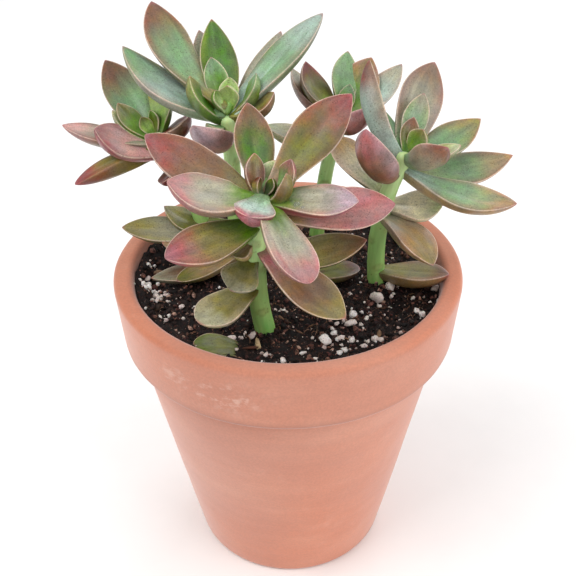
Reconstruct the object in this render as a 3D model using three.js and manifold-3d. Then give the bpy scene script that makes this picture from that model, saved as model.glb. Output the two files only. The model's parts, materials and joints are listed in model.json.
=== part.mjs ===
// Potted succulent: a rosette-forming stonecrop hybrid in a plain clay pot.
// Frame: millimetres, +Z up, origin at the centre of the pot's flat base on the floor.
// Five shoots (a front, b rear left, c right, d left, e rear right) rise from the soil.
// Every shoot is one grown piece: its stem and the tight bud of youngest leaves.
// Every full-size leaf is a piece of its own, as is each leaf that has dropped onto the soil.
import * as THREE from 'three';
import Module from 'manifold-3d';

const wasm = await Module();
wasm.setup();

// ---------- driving dimensions (mm) ----------
const POT_H = 107;            // floor to top of rim
const RIM_R = 54;             // widest radius, near the top of the rim band
const BAND_H = 21.6;          // height of the thick rim band
const BAND_FOOT_R = 52.5;     // band radius at its lower edge
const NECK_R = 48.9;          // body radius where it meets the band
const FOOT_R = 32.9;          // body radius at the base
const FLOOR_T = 6;            // thickness of the pot's floor
const INNER_FOOT_R = 27.9;    // inner wall radius on the pot's floor
const INNER_RIM_R = 48.2;     // inner wall radius just under the lip
const DRAIN_R = 6.2;          // drain hole
const POT_SEG = 48;
const SOIL_Z = 100;           // mean height of the soil surface
const SOIL_DOME = 0.7;        // the soil is a little higher in the middle
const GAP = 0.3;              // clearance kept between neighbouring pieces
const LEAF_UPPER = 0.16;      // upper face bulge, as a share of leaf thickness
const LEAF_CUP = 0.12;        // how far the blade's edges lift, as a share of half width
const STEM_ROOT = 11;         // length of stem below the lowest listed point

// Shoots: four points up the stem, radius at soil and at the bud, share of the path that is stem.
const SHOOTS = {
  a: { path: [[-6, -26, 96], [-8.5, -25.5, 112], [-8.5, -25, 128], [-6, -23, 145]], r0: 3.1, r1: 2.5, top: 0.948 },
  b: { path: [[-14, 8, 96], [-16, 10, 115], [-16.5, 10, 138], [-17.5, 9, 158]], r0: 2.8, r1: 2.3, top: 0.91 },
  c: { path: [[28, -3, 96], [27, -2, 112], [29, -2, 130], [34.5, -4, 148]], r0: 2.9, r1: 2.3, top: 0.955 },
  d: { path: [[-24, 14, 96], [-27, 15, 112], [-33, 17, 128], [-41.5, 20, 143]], r0: 2.6, r1: 2.1, top: 0.962 },
  e: { path: [[9, 25, 96], [11, 25, 112], [13.5, 25, 130], [19, 25, 147]], r0: 2.6, r1: 2.1, top: 0.925 },
};

// Leaves: id, root, midrib control point, tip, upper-face direction,
// width, thickness, place of full width (0-1), neck width share, swell ease, tip bluntness.
// a-e name the shoot; l marks the low leaves of shoot b; g marks fallen leaves.
const LEAVES = [
  ['A7', [-8.27, -23.61, 144.01], [-20.83, -26.28, 142.96], [-30.92, -28.22, 150.75], [0.306, -0.119, 0.945], 16.30, 4.80, 0.58, 0.46, 0.71, 0.85],
  ['A1', [-7, -21.19, 143.35], [-8.42, -9.2, 149.6], [-10.79, -1.51, 160.56], [0.111, -0.642, 0.759], 10.80, 4.60, 0.58, 0.42, 0.61, 0.85],
  ['A9', [-6.87, -25.2, 143.82], [-8.56, -29.59, 142.07], [-9.98, -34.23, 143.37], [0.088, -0.079, 0.993], 11.60, 4.60, 0.58, 0.42, 0.60, 0.85],
  ['A2', [-4.68, -21.83, 142.86], [5.15, -9.68, 152.3], [17.94, -2.5, 163.17], [-0.049, -0.695, 0.717], 13.27, 5.00, 0.60, 0.36, 0.86, 0.85],
  ['A3', [-4.22, -23.61, 142.7], [7.55, -24.03, 141.9], [18.85, -27.02, 143.53], [-0.066, -0.206, 0.976], 12.39, 4.60, 0.61, 0.44, 0.55, 0.87],
  ['A5', [-5.47, -25.26, 142.37], [-0.87, -38.59, 138.84], [5.05, -50.94, 133.97], [0.366, -0.151, 0.918], 12.98, 5.00, 0.67, 0.46, 0.45, 0.60],
  ['A8', [-8.74, -22.87, 140.94], [-23.86, -15.25, 146.18], [-38.2, -11.13, 155.76], [0.258, -0.44, 0.86], 14.53, 4.80, 0.58, 0.49, 0.21, 0.78],
  ['A4', [-4.99, -23.76, 137.6], [12.27, -23.42, 138.29], [29.31, -20.69, 139.06], [0.011, -0.533, 0.846], 12.90, 4.60, 0.64, 0.34, 0.92, 0.80],
  ['A6', [-9.45, -25.4, 135.68], [-21.39, -30.8, 132.31], [-31.6, -39.41, 134.49], [0.1, -0.24, 0.966], 14.00, 5.00, 0.53, 0.42, 0.24, 0.75],
  ['A15', [-6.61, -26.31, 128.31], [3.53, -35.44, 122.39], [15.15, -43.32, 117.49], [0.154, -0.382, 0.911], 12.73, 4.60, 0.61, 0.36, 0.59, 0.82],
  ['A17', [-10.16, -26.99, 124.99], [-12.6, -29.56, 121.18], [-15.6, -33.62, 119.93], [-0.19, -0.492, 0.849], 11.76, 3.80, 0.58, 0.42, 0.60, 0.86],
  ['A20', [-6.39, -25.02, 124.29], [8.12, -21.66, 123.05], [21.91, -22.44, 128.77], [-0.116, -0.345, 0.932], 11.29, 4.00, 0.56, 0.42, 0.60, 0.84],
  ['A16', [-10.54, -27.03, 116.09], [-18.06, -32.05, 112.69], [-24.22, -39.47, 113.48], [-0.035, -0.169, 0.985], 12.50, 4.20, 0.62, 0.50, 0.40, 0.60],
  ['B1', [-18.65, 10.64, 155.06], [-33.58, 20.83, 162.83], [-39.27, 31.27, 178.5], [0.34, -0.537, 0.772], 13.11, 4.80, 0.67, 0.27, 1.00, 0.84],
  ['B3', [-17.57, 11.21, 153.56], [-19.79, 24.03, 160.41], [-21.96, 31.24, 173.05], [0.389, -0.597, 0.701], 11.76, 4.40, 0.51, 0.44, 0.48, 0.86],
  ['B10', [-15.59, 10.44, 152.83], [-2.92, 21.66, 163.08], [11.02, 28.63, 175.28], [-0.437, -0.371, 0.819], 11.95, 4.80, 0.58, 0.45, 0.45, 0.78],
  ['B2', [-19.05, 10.08, 152.58], [-36.42, 16.47, 154.44], [-47.3, 20.62, 168.94], [0.421, -0.234, 0.877], 12.50, 4.80, 0.57, 0.41, 0.58, 0.84],
  ['B12', [-15.23, 9.73, 152.23], [-8.36, 10.85, 153.01], [-3.51, 11.87, 157.97], [-0.421, -0.109, 0.9], 10.26, 4.00, 0.55, 0.42, 0.59, 0.87],
  ['B16', [-17.77, 11.24, 152.18], [-22.49, 25.85, 156.2], [-26.26, 35.33, 168.37], [0.099, -0.531, 0.842], 9.50, 3.80, 0.58, 0.42, 0.60, 0.85],
  ['B17', [-16.13, 11.02, 152.25], [-7.36, 25.1, 155.57], [-1.37, 35.01, 167.9], [-0.269, -0.404, 0.874], 9.50, 3.80, 0.58, 0.42, 0.60, 0.85],
  ['B14', [-17.84, 7.93, 145.51], [-19.75, -1.16, 149.12], [-25.73, -5.51, 155.8], [0.064, 0.583, 0.81], 12.66, 4.40, 0.54, 0.43, 0.53, 0.87],
  ['L2', [-18.15, 10.54, 114.64], [-29.72, 13.34, 110.48], [-39.24, 16.05, 118.29], [0.127, -0.163, 0.978], 10.97, 4.00, 0.57, 0.42, 0.61, 0.88],
  ['L1', [-18.08, 9.77, 112.42], [-35.24, 11.36, 111.46], [-51.98, 8.86, 114.81], [0.075, -0.241, 0.968], 10.89, 4.40, 0.64, 0.42, 0.60, 0.79],
  ['L3', [-17.75, 9.02, 109.23], [-28.6, 6.55, 109.25], [-39.11, 4.02, 111.91], [0.131, -0.026, 0.991], 10.50, 3.80, 0.62, 0.42, 0.60, 0.60],
  ['L5', [-16.82, 7.59, 104.85], [-25.39, 0.42, 104.88], [-33.97, -6.76, 104.91], [0.006, -0.002, 1], 8.00, 3.60, 0.60, 0.42, 0.60, 0.60],
  ['L4', [-16.94, 7.94, 102.52], [-29.83, 2.97, 101.06], [-42.67, -2.02, 102.9], [0.018, -0.007, 1], 8.50, 3.80, 0.58, 0.42, 0.60, 0.85],
  ['C6', [34.92, -5.19, 145], [38.7, -10.87, 147.29], [43.56, -13.21, 152.05], [0.231, 0.771, 0.594], 10.59, 3.80, 0.59, 0.42, 0.60, 0.83],
  ['C3', [32.24, -1.94, 144.75], [24.18, 5.79, 154.79], [24.12, 16.11, 165.7], [0.946, 0.308, 0.101], 8.40, 4.40, 0.60, 0.43, 0.57, 0.82],
  ['C7', [34.89, -2.47, 143.75], [46.04, 4.22, 143.62], [56.25, 7.51, 150.96], [-0.104, -0.428, 0.898], 11.06, 4.00, 0.57, 0.42, 0.60, 0.89],
  ['C1', [33.57, -1.57, 144.28], [37.04, 10.15, 152.84], [43.17, 17.42, 164.34], [0.365, -0.757, 0.542], 13.70, 4.60, 0.61, 0.47, 0.43, 0.84],
  ['C10', [34.13, -3.97, 140.9], [48.67, -8.63, 132.41], [63.48, -16.89, 136.58], [0.021, -0.274, 0.962], 10.60, 5.20, 0.60, 0.25, 0.95, 0.83],
  ['C9', [34.08, -2.58, 140.49], [49.81, 3.11, 133.6], [66.44, 5, 140.46], [0.086, -0.365, 0.927], 11.92, 4.40, 0.56, 0.42, 0.60, 0.92],
  ['C11', [29.8, -3.83, 139.52], [24.09, -11.25, 146.41], [21.25, -12.86, 157.56], [0.542, 0.62, 0.567], 13.34, 4.60, 0.52, 0.43, 0.55, 0.84],
  ['C12', [27.96, -0.59, 132.04], [20.35, 7.88, 134.48], [15.1, 14.39, 142.57], [-0.017, -0.585, 0.811], 8.64, 4.60, 0.77, 0.36, 0.95, 0.84],
  ['C14', [30.79, -1.99, 128.05], [38.37, -1.08, 126.4], [45.84, -2.52, 128.16], [-0.017, -0.295, 0.955], 11.97, 4.00, 0.58, 0.43, 0.57, 0.83],
  ['C15', [29.53, -3.53, 125.34], [37.07, -11.38, 123.9], [41.45, -19.63, 118.15], [0.403, -0.108, 0.909], 14.06, 4.20, 0.55, 0.48, 0.49, 0.86],
  ['C16', [29.38, -3.13, 105.79], [39.64, -4.95, 105.83], [48.33, -10.05, 108.47], [-0.107, 0.089, 0.99], 11.60, 5.00, 0.53, 0.49, 0.41, 0.83],
  ['D3', [-39.62, 20.97, 141.42], [-38.92, 27.19, 146.5], [-40.31, 31.6, 153.1], [-0.662, -0.573, 0.482], 12.50, 3.60, 0.52, 0.42, 0.60, 0.85],
  ['D1', [-40.61, 21.22, 140.23], [-49.22, 32.12, 146.18], [-56.27, 36.89, 158.66], [0.132, -0.697, 0.705], 12.50, 4.00, 0.58, 0.42, 0.60, 0.83],
  ['D8', [-38.4, 19.89, 141.14], [-33.22, 21.05, 142.82], [-29.48, 22.65, 146.64], [-0.554, 0.163, 0.816], 11.00, 3.80, 0.58, 0.42, 0.60, 0.85],
  ['D5', [-41.26, 18.77, 139.2], [-54.91, 17.95, 140.95], [-67.21, 15.52, 146.69], [0.279, -0.015, 0.96], 10.29, 3.80, 0.62, 0.42, 0.60, 0.82],
  ['D7', [-40.35, 18.23, 137.86], [-53.08, 12.51, 137.83], [-63.95, 6.6, 131.37], [-0.238, -0.059, 0.97], 8.60, 5.60, 0.58, 0.42, 0.60, 0.60],
  ['D6', [-39.62, 17.66, 137.16], [-50.08, 15.42, 139.33], [-56.83, 11.75, 147.08], [0.541, -0.208, 0.815], 13.00, 5.00, 0.56, 0.48, 0.27, 0.83],
  ['E3', [18.17, 26.77, 145.58], [17.75, 36.31, 150.08], [19.65, 41.73, 158.94], [0.36, -0.641, 0.678], 9.00, 3.80, 0.58, 0.42, 0.60, 0.85],
  ['E1', [16.79, 26.17, 144.76], [8.53, 32.74, 147.83], [6.2, 38.12, 157.15], [0.56, -0.303, 0.771], 10.89, 4.00, 0.57, 0.42, 0.59, 0.87],
  ['E4', [18.27, 26.75, 143.36], [22.14, 36.34, 147.91], [27.04, 40.08, 157.39], [-0.065, -0.703, 0.708], 12.83, 4.20, 0.54, 0.43, 0.52, 0.85],
  ['E2', [16.29, 26.15, 143.41], [7.31, 33.69, 145.67], [1.94, 40.15, 154.16], [0.496, -0.149, 0.856], 9.50, 4.00, 0.58, 0.42, 0.60, 0.85],
  ['E5', [18.82, 26.29, 142.51], [28.7, 34.6, 145.74], [36.57, 38.75, 155.64], [-0.248, -0.513, 0.822], 9.50, 3.80, 0.58, 0.42, 0.60, 0.85],
  ['E6', [17.93, 23.32, 141.69], [21.52, 18.47, 145.58], [24.82, 15.71, 151.34], [-0.103, 0.744, 0.66], 8.00, 3.80, 0.58, 0.42, 0.60, 0.85],
  ['E7', [14.07, 25.01, 138.49], [3.19, 25.07, 136.72], [-6.69, 25.14, 141.59], [0.147, 0.001, 0.989], 11.00, 4.20, 0.58, 0.42, 0.60, 0.85],
  ['G1', [-11.16, -32.39, 97.5], [-18.66, -34.14, 101.32], [-26.83, -36.06, 103.2], [0.325, 0.076, 0.943], 10.50, 4.00, 0.60, 0.50, 0.60, 0.60],
  ['G2', [5.62, -0.31, 101.5], [14, 0.56, 103.53], [22.61, 1.46, 103.5], [-0.116, -0.012, 0.993], 9.50, 4.20, 0.60, 0.50, 0.60, 0.55],
];

// Youngest leaves, fused into the bud at the top of their shoot.
const BUD_LEAVES = [
  ['A10', [-7.47, -21.99, 142.45], [-9.22, -18.33, 147.02], [-8.58, -17.17, 152.99], [0.642, -0.669, 0.374], 6.50, 3.00, 0.58, 0.42, 0.60, 0.85],
  ['A11', [-5.09, -22.45, 142.12], [-0.09, -19.05, 145.05], [1.1, -18.14, 151.59], [-0.656, -0.427, 0.623], 7.60, 3.20, 0.58, 0.42, 0.60, 0.85],
  ['A12', [-7.14, -22.89, 143.04], [-7.87, -22.09, 145.65], [-7.01, -21.93, 148.33], [0.927, -0.372, 0.046], 3.40, 2.00, 0.58, 0.42, 0.60, 0.85],
  ['A13', [-4.99, -23.79, 142.27], [-0.48, -24.71, 145.1], [-0.26, -23.83, 150.43], [-0.812, 0.342, 0.472], 7.50, 3.00, 0.58, 0.42, 0.60, 0.85],
  ['A14', [-5.77, -22.82, 143.35], [-4.33, -21.69, 145.18], [-3.99, -21.43, 147.73], [-0.7, -0.547, 0.459], 3.60, 2.20, 0.58, 0.42, 0.60, 0.85],
  ['A24', [-6.1, -22.07, 142.23], [-4.5, -17.18, 144.66], [-3.2, -14.66, 149.59], [-0.086, -0.685, 0.723], 8.50, 3.00, 0.58, 0.42, 0.60, 0.85],
  ['B4', [-17.82, 10.86, 153.33], [-20.34, 17, 158.12], [-21.73, 19.27, 165.85], [0.228, -0.774, 0.591], 7.20, 3.20, 0.58, 0.42, 0.60, 0.85],
  ['B5', [-18.95, 9.94, 151.15], [-25.17, 10.84, 155.77], [-27.53, 11.63, 163.17], [0.812, -0.021, 0.583], 10.00, 3.80, 0.58, 0.42, 0.60, 0.85],
  ['B6', [-18.04, 9.71, 153.84], [-19.88, 10.64, 156.19], [-20.26, 10.59, 159.3], [0.762, -0.514, 0.393], 4.20, 2.40, 0.58, 0.42, 0.60, 0.85],
  ['B7', [-16.84, 10.43, 152.77], [-16.31, 12.42, 156.43], [-16.93, 10.97, 160.31], [-0.317, -0.946, 0.064], 6.60, 3.00, 0.58, 0.42, 0.60, 0.85],
  ['B8', [-17.13, 10.01, 153.91], [-16.51, 13.93, 156.65], [-16.39, 15.57, 161.18], [-0.174, -0.774, 0.609], 6.00, 2.80, 0.58, 0.42, 0.60, 0.85],
  ['B9', [-15.73, 10.38, 152.24], [-10.48, 13, 156.06], [-8.66, 15.32, 162.41], [-0.802, -0.071, 0.593], 9.00, 3.60, 0.58, 0.42, 0.60, 0.85],
  ['C2', [33.8, -2.1, 145.44], [36.16, 4.61, 151.07], [39.11, 6.54, 159.41], [0.106, -0.863, 0.494], 7.40, 3.20, 0.58, 0.42, 0.60, 0.85],
  ['C4', [34.41, -2.75, 144.55], [37.31, -1.79, 148.14], [38.03, -2.99, 152.64], [-0.681, -0.674, 0.285], 7.00, 3.00, 0.58, 0.42, 0.60, 0.85],
  ['C5', [33.66, -2.79, 145.4], [34.61, 1.64, 148.57], [36.22, 3.32, 153.58], [0.193, -0.814, 0.548], 5.50, 2.60, 0.58, 0.42, 0.60, 0.85],
  ['C8', [35.7, -3.72, 145.23], [42.78, -3.81, 144.75], [48.82, -4.37, 148.44], [-0.241, -0.106, 0.965], 6.50, 3.00, 0.58, 0.42, 0.60, 0.85],
  ['D11', [-40.04, 20.3, 141.32], [-40.1, 22.98, 144.14], [-41.8, 24.02, 147.48], [-0.689, -0.691, 0.219], 4.60, 2.60, 0.58, 0.42, 0.60, 0.85],
  ['D12', [-40.85, 20.24, 140.85], [-43.09, 21.84, 142.96], [-44.42, 21.88, 146.16], [0.43, -0.74, 0.517], 4.40, 2.40, 0.58, 0.42, 0.60, 0.85],
  ['D2', [-41.59, 20.24, 140.42], [-47.86, 23.06, 143.36], [-51.56, 24.37, 149.73], [0.566, -0.334, 0.754], 8.40, 3.20, 0.58, 0.42, 0.60, 0.85],
  ['E10', [16.87, 25.7, 143.77], [15.78, 27.2, 146.96], [16.57, 27.53, 150.56], [0.833, -0.523, 0.178], 5.50, 3.00, 0.58, 0.42, 0.60, 0.85],
  ['E9', [17.66, 26.19, 143.49], [18.31, 30.53, 146.85], [19.9, 32.12, 151.89], [0.277, -0.818, 0.504], 5.50, 3.00, 0.58, 0.42, 0.60, 0.85],
];

// Leaf tones: grey-green hearts, olive and tan outer leaves, pink and wine-red tips.
const TONES = {
  green: 0x86a06c, bluegreen: 0x8fa88c, olive: 0x8e8a58, tan: 0x9b8464,
  pink: 0xa98377, wine: 0x7d4c42, pale: 0xa9ae8c, grey: 0x86866a,
};
const TONE_OF = {
    A8: 'wine', B14: 'wine', C11: 'wine', D8: 'wine', E1: 'wine', E6: 'wine', D6: 'wine', A5: 'pink', A4:
  'pink', D7: 'pink', A6: 'pink', C6: 'pink', D5: 'pink', C3: 'pink', A15: 'tan', A20: 'tan', C16: 'tan', C15:
  'tan', E4: 'tan', A16: 'tan', B3: 'green', C14: 'green', E3: 'green', A1: 'green', E7: 'green', D3: 'green',
  B1: 'bluegreen', B2: 'bluegreen', B10: 'bluegreen', C1: 'bluegreen', C7: 'bluegreen', D1: 'bluegreen', A9:
  'bluegreen', E5: 'bluegreen', L1: 'olive', L2: 'olive', L3: 'olive', B12: 'olive', A2: 'olive', A7: 'olive',
  C12: 'pale', E2: 'pale', B16: 'pale', C9: 'pale', C10: 'pale', A17: 'grey', G1: 'grey', G2: 'grey', L4:
  'grey', L5: 'grey', B17: 'grey',
};

// ---------- helpers ----------
const V = (a) => new THREE.Vector3(a[0], a[1], a[2]);
const clamp = (x, a, b) => Math.min(b, Math.max(a, x));

function geometryFrom(points, faces) {
  const g = new THREE.BufferGeometry();
  g.setAttribute('position', new THREE.Float32BufferAttribute(points.flatMap((p) => [p.x, p.y, p.z]), 3));
  g.setIndex(faces.flat());
  return g;
}

// Closed solid for joining and cutting: vertices at the same place are welded first.
function solidFrom(geometry) {
  const pos = geometry.getAttribute('position');
  const seen = new Map();
  const verts = [];
  const remap = [];
  for (let i = 0; i < pos.count; i++) {
    const key = [pos.getX(i), pos.getY(i), pos.getZ(i)].map((c) => Math.round(c * 1e4)).join(',');
    if (!seen.has(key)) {
      seen.set(key, verts.length / 3);
      verts.push(pos.getX(i), pos.getY(i), pos.getZ(i));
    }
    remap.push(seen.get(key));
  }
  const idx = geometry.index ? Array.from(geometry.index.array) : Array.from({ length: pos.count }, (_, i) => i);
  const tris = [];
  for (let i = 0; i < idx.length; i += 3) {
    const a = remap[idx[i]], b = remap[idx[i + 1]], c = remap[idx[i + 2]];
    if (a !== b && b !== c && a !== c) tris.push(a, b, c);
  }
  return new wasm.Manifold(new wasm.Mesh({
    numProp: 3, vertProperties: new Float32Array(verts), triVerts: new Uint32Array(tris),
  }));
}

function geometryOf(solid) {
  const m = solid.getMesh();
  const g = new THREE.BufferGeometry();
  g.setAttribute('position', new THREE.Float32BufferAttribute(Array.from(m.vertProperties), 3));
  g.setIndex(Array.from(m.triVerts));
  g.computeVertexNormals();
  return g;
}

// A cut can leave crumbs behind: the piece itself is the largest body.
function mainBody(solid) {
  const parts = solid.decompose();
  return parts.reduce((best, p) => (p.volume() > best.volume() ? p : best), parts[0]);
}

// ---------- leaf ----------
const widthAt = (t, L) => {
  if (t < L.full) {
    const x = clamp(t / L.full, 0, 1);
    return L.neck + (1 - L.neck) * ((1 - L.ease) * Math.sin(Math.PI / 2 * x) + L.ease * x * x * (3 - 2 * x));
  }
  const y = clamp((t - L.full) / (1 - L.full), 0, 1);
  return Math.pow(Math.max(0, 1 - y * y), L.blunt);
};
const thickAt = (t) => {
  const m = 0.38;
  if (t < m) return 0.7 + 0.3 * Math.sin(Math.PI / 2 * t / m);
  return Math.pow(Math.max(0, 1 - Math.pow((t - m) / (1 - m), 2.3)), 0.75);
};
const leafOf = ([id, root, mid, tip, face, width, thick, full, neck, ease, blunt]) =>
  ({ id, root: V(root), mid: V(mid), tip: V(tip), face: V(face), width, thick, full, neck, ease, blunt });

// A fleshy leaf: lens-shaped sections strung along a curved midrib, flatter above, keeled below.
function leafGeometry(L, grow = 0) {
  const curve = new THREE.QuadraticBezierCurve3(L.root, L.mid, L.tip);
  const length = L.root.distanceTo(L.tip);
  const rings = clamp(Math.round(length / 5) + 1, 3, 7);
  const sides = 8;
  const pts = [];
  const faces = [];
  let lastT;
  for (let i = 0; i < rings; i++) {
    const t = Math.pow(i / rings, 0.95);
    const c = curve.getPoint(t);
    const tangent = curve.getTangent(t);
    const side = new THREE.Vector3().crossVectors(tangent, L.face).normalize();
    const up = new THREE.Vector3().crossVectors(side, tangent);
    const half = widthAt(t, L) * L.width / 2 + grow;
    const depth = thickAt(t) * L.thick + grow;
    const lift = LEAF_CUP * half * Math.sqrt(Math.sin(Math.PI * clamp(t * 0.9 + 0.08, 0, 1)));
    for (let j = 0; j < sides; j++) {
      const a = 2 * Math.PI * j / sides;
      const s = Math.sin(a), k = Math.cos(a);
      const z = (s > 0 ? (LEAF_UPPER * depth + grow) * s : -depth * Math.pow(-s, 1.15)) + lift * k * k;
      pts.push(c.clone().addScaledVector(side, half * k).addScaledVector(up, z));
    }
    if (i === 0) L._base = c.clone().addScaledVector(tangent, -(grow + 0.6)).addScaledVector(up, -depth * 0.35);
    lastT = tangent;
  }
  for (let i = 0; i < rings - 1; i++) {
    for (let j = 0; j < sides; j++) {
      const a = i * sides + j, b = i * sides + (j + 1) % sides;
      faces.push([a, b + sides, b], [a, a + sides, b + sides]);
    }
  }
  const tipI = pts.push(L.tip.clone().addScaledVector(lastT, grow)) - 1;
  const baseI = pts.push(L._base) - 1;
  const last = (rings - 1) * sides;
  for (let j = 0; j < sides; j++) {
    faces.push([last + (j + 1) % sides, last + j, tipI]);
    faces.push([j, (j + 1) % sides, baseI]);
  }
  return geometryFrom(pts, faces);
}

// ---------- stem ----------
function stemGeometry(S, grow = 0) {
  const P = S.path.map(V);
  const start = P[0].clone().addScaledVector(P[1].clone().sub(P[0]).normalize(), -STEM_ROOT);
  const curve = new THREE.CatmullRomCurve3([start, ...P], false, 'catmullrom', 0.5);
  const sides = 8, rings = 9;
  const pts = [], faces = [];
  for (let i = 0; i <= rings; i++) {
    const u = i / rings;
    const c = curve.getPoint(u * S.top);
    const d = curve.getTangent(u * S.top);
    const a = new THREE.Vector3().crossVectors(d, new THREE.Vector3(0, 1, 0)).normalize();
    const b = new THREE.Vector3().crossVectors(d, a);
    // slim below the soil, fullest at the soil line, a touch swollen under the bud
    const r = THREE.MathUtils.lerp(S.r0, S.r1, u) * (i === 0 ? 0.7 : 1) * (i === rings ? 0.8 : 1) + grow;
    for (let j = 0; j < sides; j++) {
      const q = 2 * Math.PI * j / sides;
      pts.push(c.clone().addScaledVector(a, r * Math.cos(q)).addScaledVector(b, r * Math.sin(q)));
    }
  }
  for (let i = 0; i < rings; i++) {
    for (let j = 0; j < sides; j++) {
      const p = i * sides + j, q = i * sides + (j + 1) % sides;
      faces.push([p, q, q + sides], [p, q + sides, p + sides]);
    }
  }
  const top = pts.push(curve.getPoint(S.top).addScaledVector(curve.getTangent(S.top), 0.8 + grow)) - 1;
  const foot = pts.push(start.clone().addScaledVector(curve.getTangent(0), -0.8 - grow)) - 1;
  for (let j = 0; j < sides; j++) {
    const last = rings * sides;
    faces.push([last + j, last + (j + 1) % sides, top]);
    faces.push([(j + 1) % sides, j, foot]);
  }
  return geometryFrom(pts, faces);
}

// ---------- pot and soil ----------
const innerR = (z) => INNER_FOOT_R + (z - FLOOR_T) * (INNER_RIM_R - INNER_FOOT_R) / (POT_H - 3 - FLOOR_T);
function potGeometry() {
  const bandFoot = POT_H - BAND_H;
  const loop = [
    [DRAIN_R, 0], [FOOT_R - 1.5, 0], [FOOT_R - 0.4, 0.45], [FOOT_R, 1.6],
    [NECK_R - 0.2, bandFoot - 1.6], [NECK_R + 0.5, bandFoot - 0.3], [BAND_FOOT_R - 1.3, bandFoot],
    [BAND_FOOT_R - 0.3, bandFoot + 0.5], [BAND_FOOT_R, bandFoot + 1.6],
    [RIM_R, POT_H - 3.6], [RIM_R - 0.3, POT_H - 1.7], [RIM_R - 1.3, POT_H - 0.5], [RIM_R - 2.8, POT_H],
    [INNER_RIM_R + 2, POT_H - 0.1], [INNER_RIM_R + 0.7, POT_H - 0.9], [INNER_RIM_R + 0.05, POT_H - 2.4],
    [innerR(SOIL_Z - 10), SOIL_Z - 10], [INNER_FOOT_R, FLOOR_T + 1.2], [INNER_FOOT_R - 1.4, FLOOR_T], [DRAIN_R, FLOOR_T],
  ];
  const profile = [...loop, loop[0]].map(([r, z]) => new THREE.Vector2(r, z));
  const g = new THREE.LatheGeometry(profile, POT_SEG);
  g.rotateX(Math.PI / 2);
  return g;
}

const soilTop = (r, a) => SOIL_Z + SOIL_DOME * (1 - (r / 47) ** 2)
  + 0.45 * Math.sin(r * 0.29 + 2.1 * Math.cos(a)) * Math.sin(3 * a + r * 0.11)
  + 0.3 * Math.sin(5 * a + 1.3) * Math.sin(r * 0.21 + 0.6) + 0.22 * Math.sin(7 * a + r * 0.4);
function soilGeometry() {
  const seg = 30, rings = [6, 13, 20, 27, 34, 41];
  const edge = innerR(SOIL_Z) - GAP - 0.15;
  const pts = [new THREE.Vector3(0, 0, soilTop(0, 0))];
  const faces = [];
  const radii = [...rings, edge];
  for (const r of radii) {
    for (let j = 0; j < seg; j++) {
      const a = 2 * Math.PI * j / seg;
      const z = r === edge ? SOIL_Z - 0.6 + 0.25 * Math.sin(6 * a) : soilTop(r, a);
      pts.push(new THREE.Vector3(r * Math.cos(a), r * Math.sin(a), z));
    }
  }
  // the wall follows the inside of the pot, down to its floor
  const skirt = [[innerR(SOIL_Z - 10) - GAP - 0.15, SOIL_Z - 10], [INNER_FOOT_R - GAP - 0.1, FLOOR_T + GAP + 1.4], [INNER_FOOT_R - 2.2, FLOOR_T + GAP]];
  for (const [r, z] of skirt) {
    for (let j = 0; j < seg; j++) {
      const a = 2 * Math.PI * j / seg;
      pts.push(new THREE.Vector3(r * Math.cos(a), r * Math.sin(a), z));
    }
  }
  const n = radii.length + skirt.length;
  for (let j = 0; j < seg; j++) faces.push([0, 1 + j, 1 + (j + 1) % seg]);
  for (let i = 0; i < n - 1; i++) {
    for (let j = 0; j < seg; j++) {
      const a = 1 + i * seg + j, b = 1 + i * seg + (j + 1) % seg;
      faces.push([a, a + seg, b + seg], [a, b + seg, b]);
    }
  }
  const bottom = pts.push(new THREE.Vector3(0, 0, FLOOR_T + GAP)) - 1;
  for (let j = 0; j < seg; j++) {
    const a = 1 + (n - 1) * seg + j, b = 1 + (n - 1) * seg + (j + 1) % seg;
    faces.push([a, bottom, b]);
  }
  return geometryFrom(pts, faces);
}

// ---------- assembly ----------
const group = new THREE.Group();
group.name = 'potted_succulent';
function addPiece(name, solidOrGeometry, color, roughness) {
  const geometry = solidOrGeometry.isBufferGeometry ? solidOrGeometry : geometryOf(solidOrGeometry);
  const mesh = new THREE.Mesh(geometry, new THREE.MeshStandardMaterial({ color, roughness, metalness: 0 }));
  mesh.name = name;
  group.add(mesh);
}

const pad = (n) => String(n).padStart(2, '0');
const leafName = (id) => {
  const k = id[0].toLowerCase(), n = Number(id.slice(1));
  if (k === 'g') return `fallen_leaf_${n}`;
  if (k === 'l') return `leaf_b_low_${n}`;
  return `leaf_${k}_${pad(n)}`;
};
const overlaps = (a, b) => [0, 1, 2].every((i) => a.min[i] < b.max[i] && b.min[i] < a.max[i]);

addPiece('pot', geometryOf(solidFrom(potGeometry())), 0xd08a6c, 0.85);

// shoots first: stem and bud joined into one grown piece, each with a grown copy for clearance
const taken = [];
for (const [key, S] of Object.entries(SHOOTS)) {
  let body = solidFrom(stemGeometry(S));
  let keepOut = solidFrom(stemGeometry(S, GAP));
  for (const row of BUD_LEAVES) {
    if (row[0][0].toLowerCase() !== key) continue;
    const L = leafOf(row);
    body = body.add(solidFrom(leafGeometry(L)));
    keepOut = keepOut.add(solidFrom(leafGeometry(L, GAP)));
  }
  for (const t of taken) if (overlaps(body.boundingBox(), t.box)) body = body.subtract(t.solid);
  body = mainBody(mainBody(body).simplify(0.12));
  addPiece(`shoot_${key}`, body, 0x8db05a, 0.5);
  taken.push({ solid: keepOut, box: keepOut.boundingBox(), stem: true });
}

const leafSolids = [];
for (const row of LEAVES) {
  const L = leafOf(row);
  let body = solidFrom(leafGeometry(L));
  for (const t of taken) {
    if (overlaps(body.boundingBox(), t.box)) body = body.subtract(t.solid);
  }
  body = mainBody(mainBody(body).simplify(0.12));
  const keepOut = solidFrom(leafGeometry(L, GAP));
  taken.push({ solid: keepOut, box: keepOut.boundingBox() });
  leafSolids.push({ L, body });
}

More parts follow.
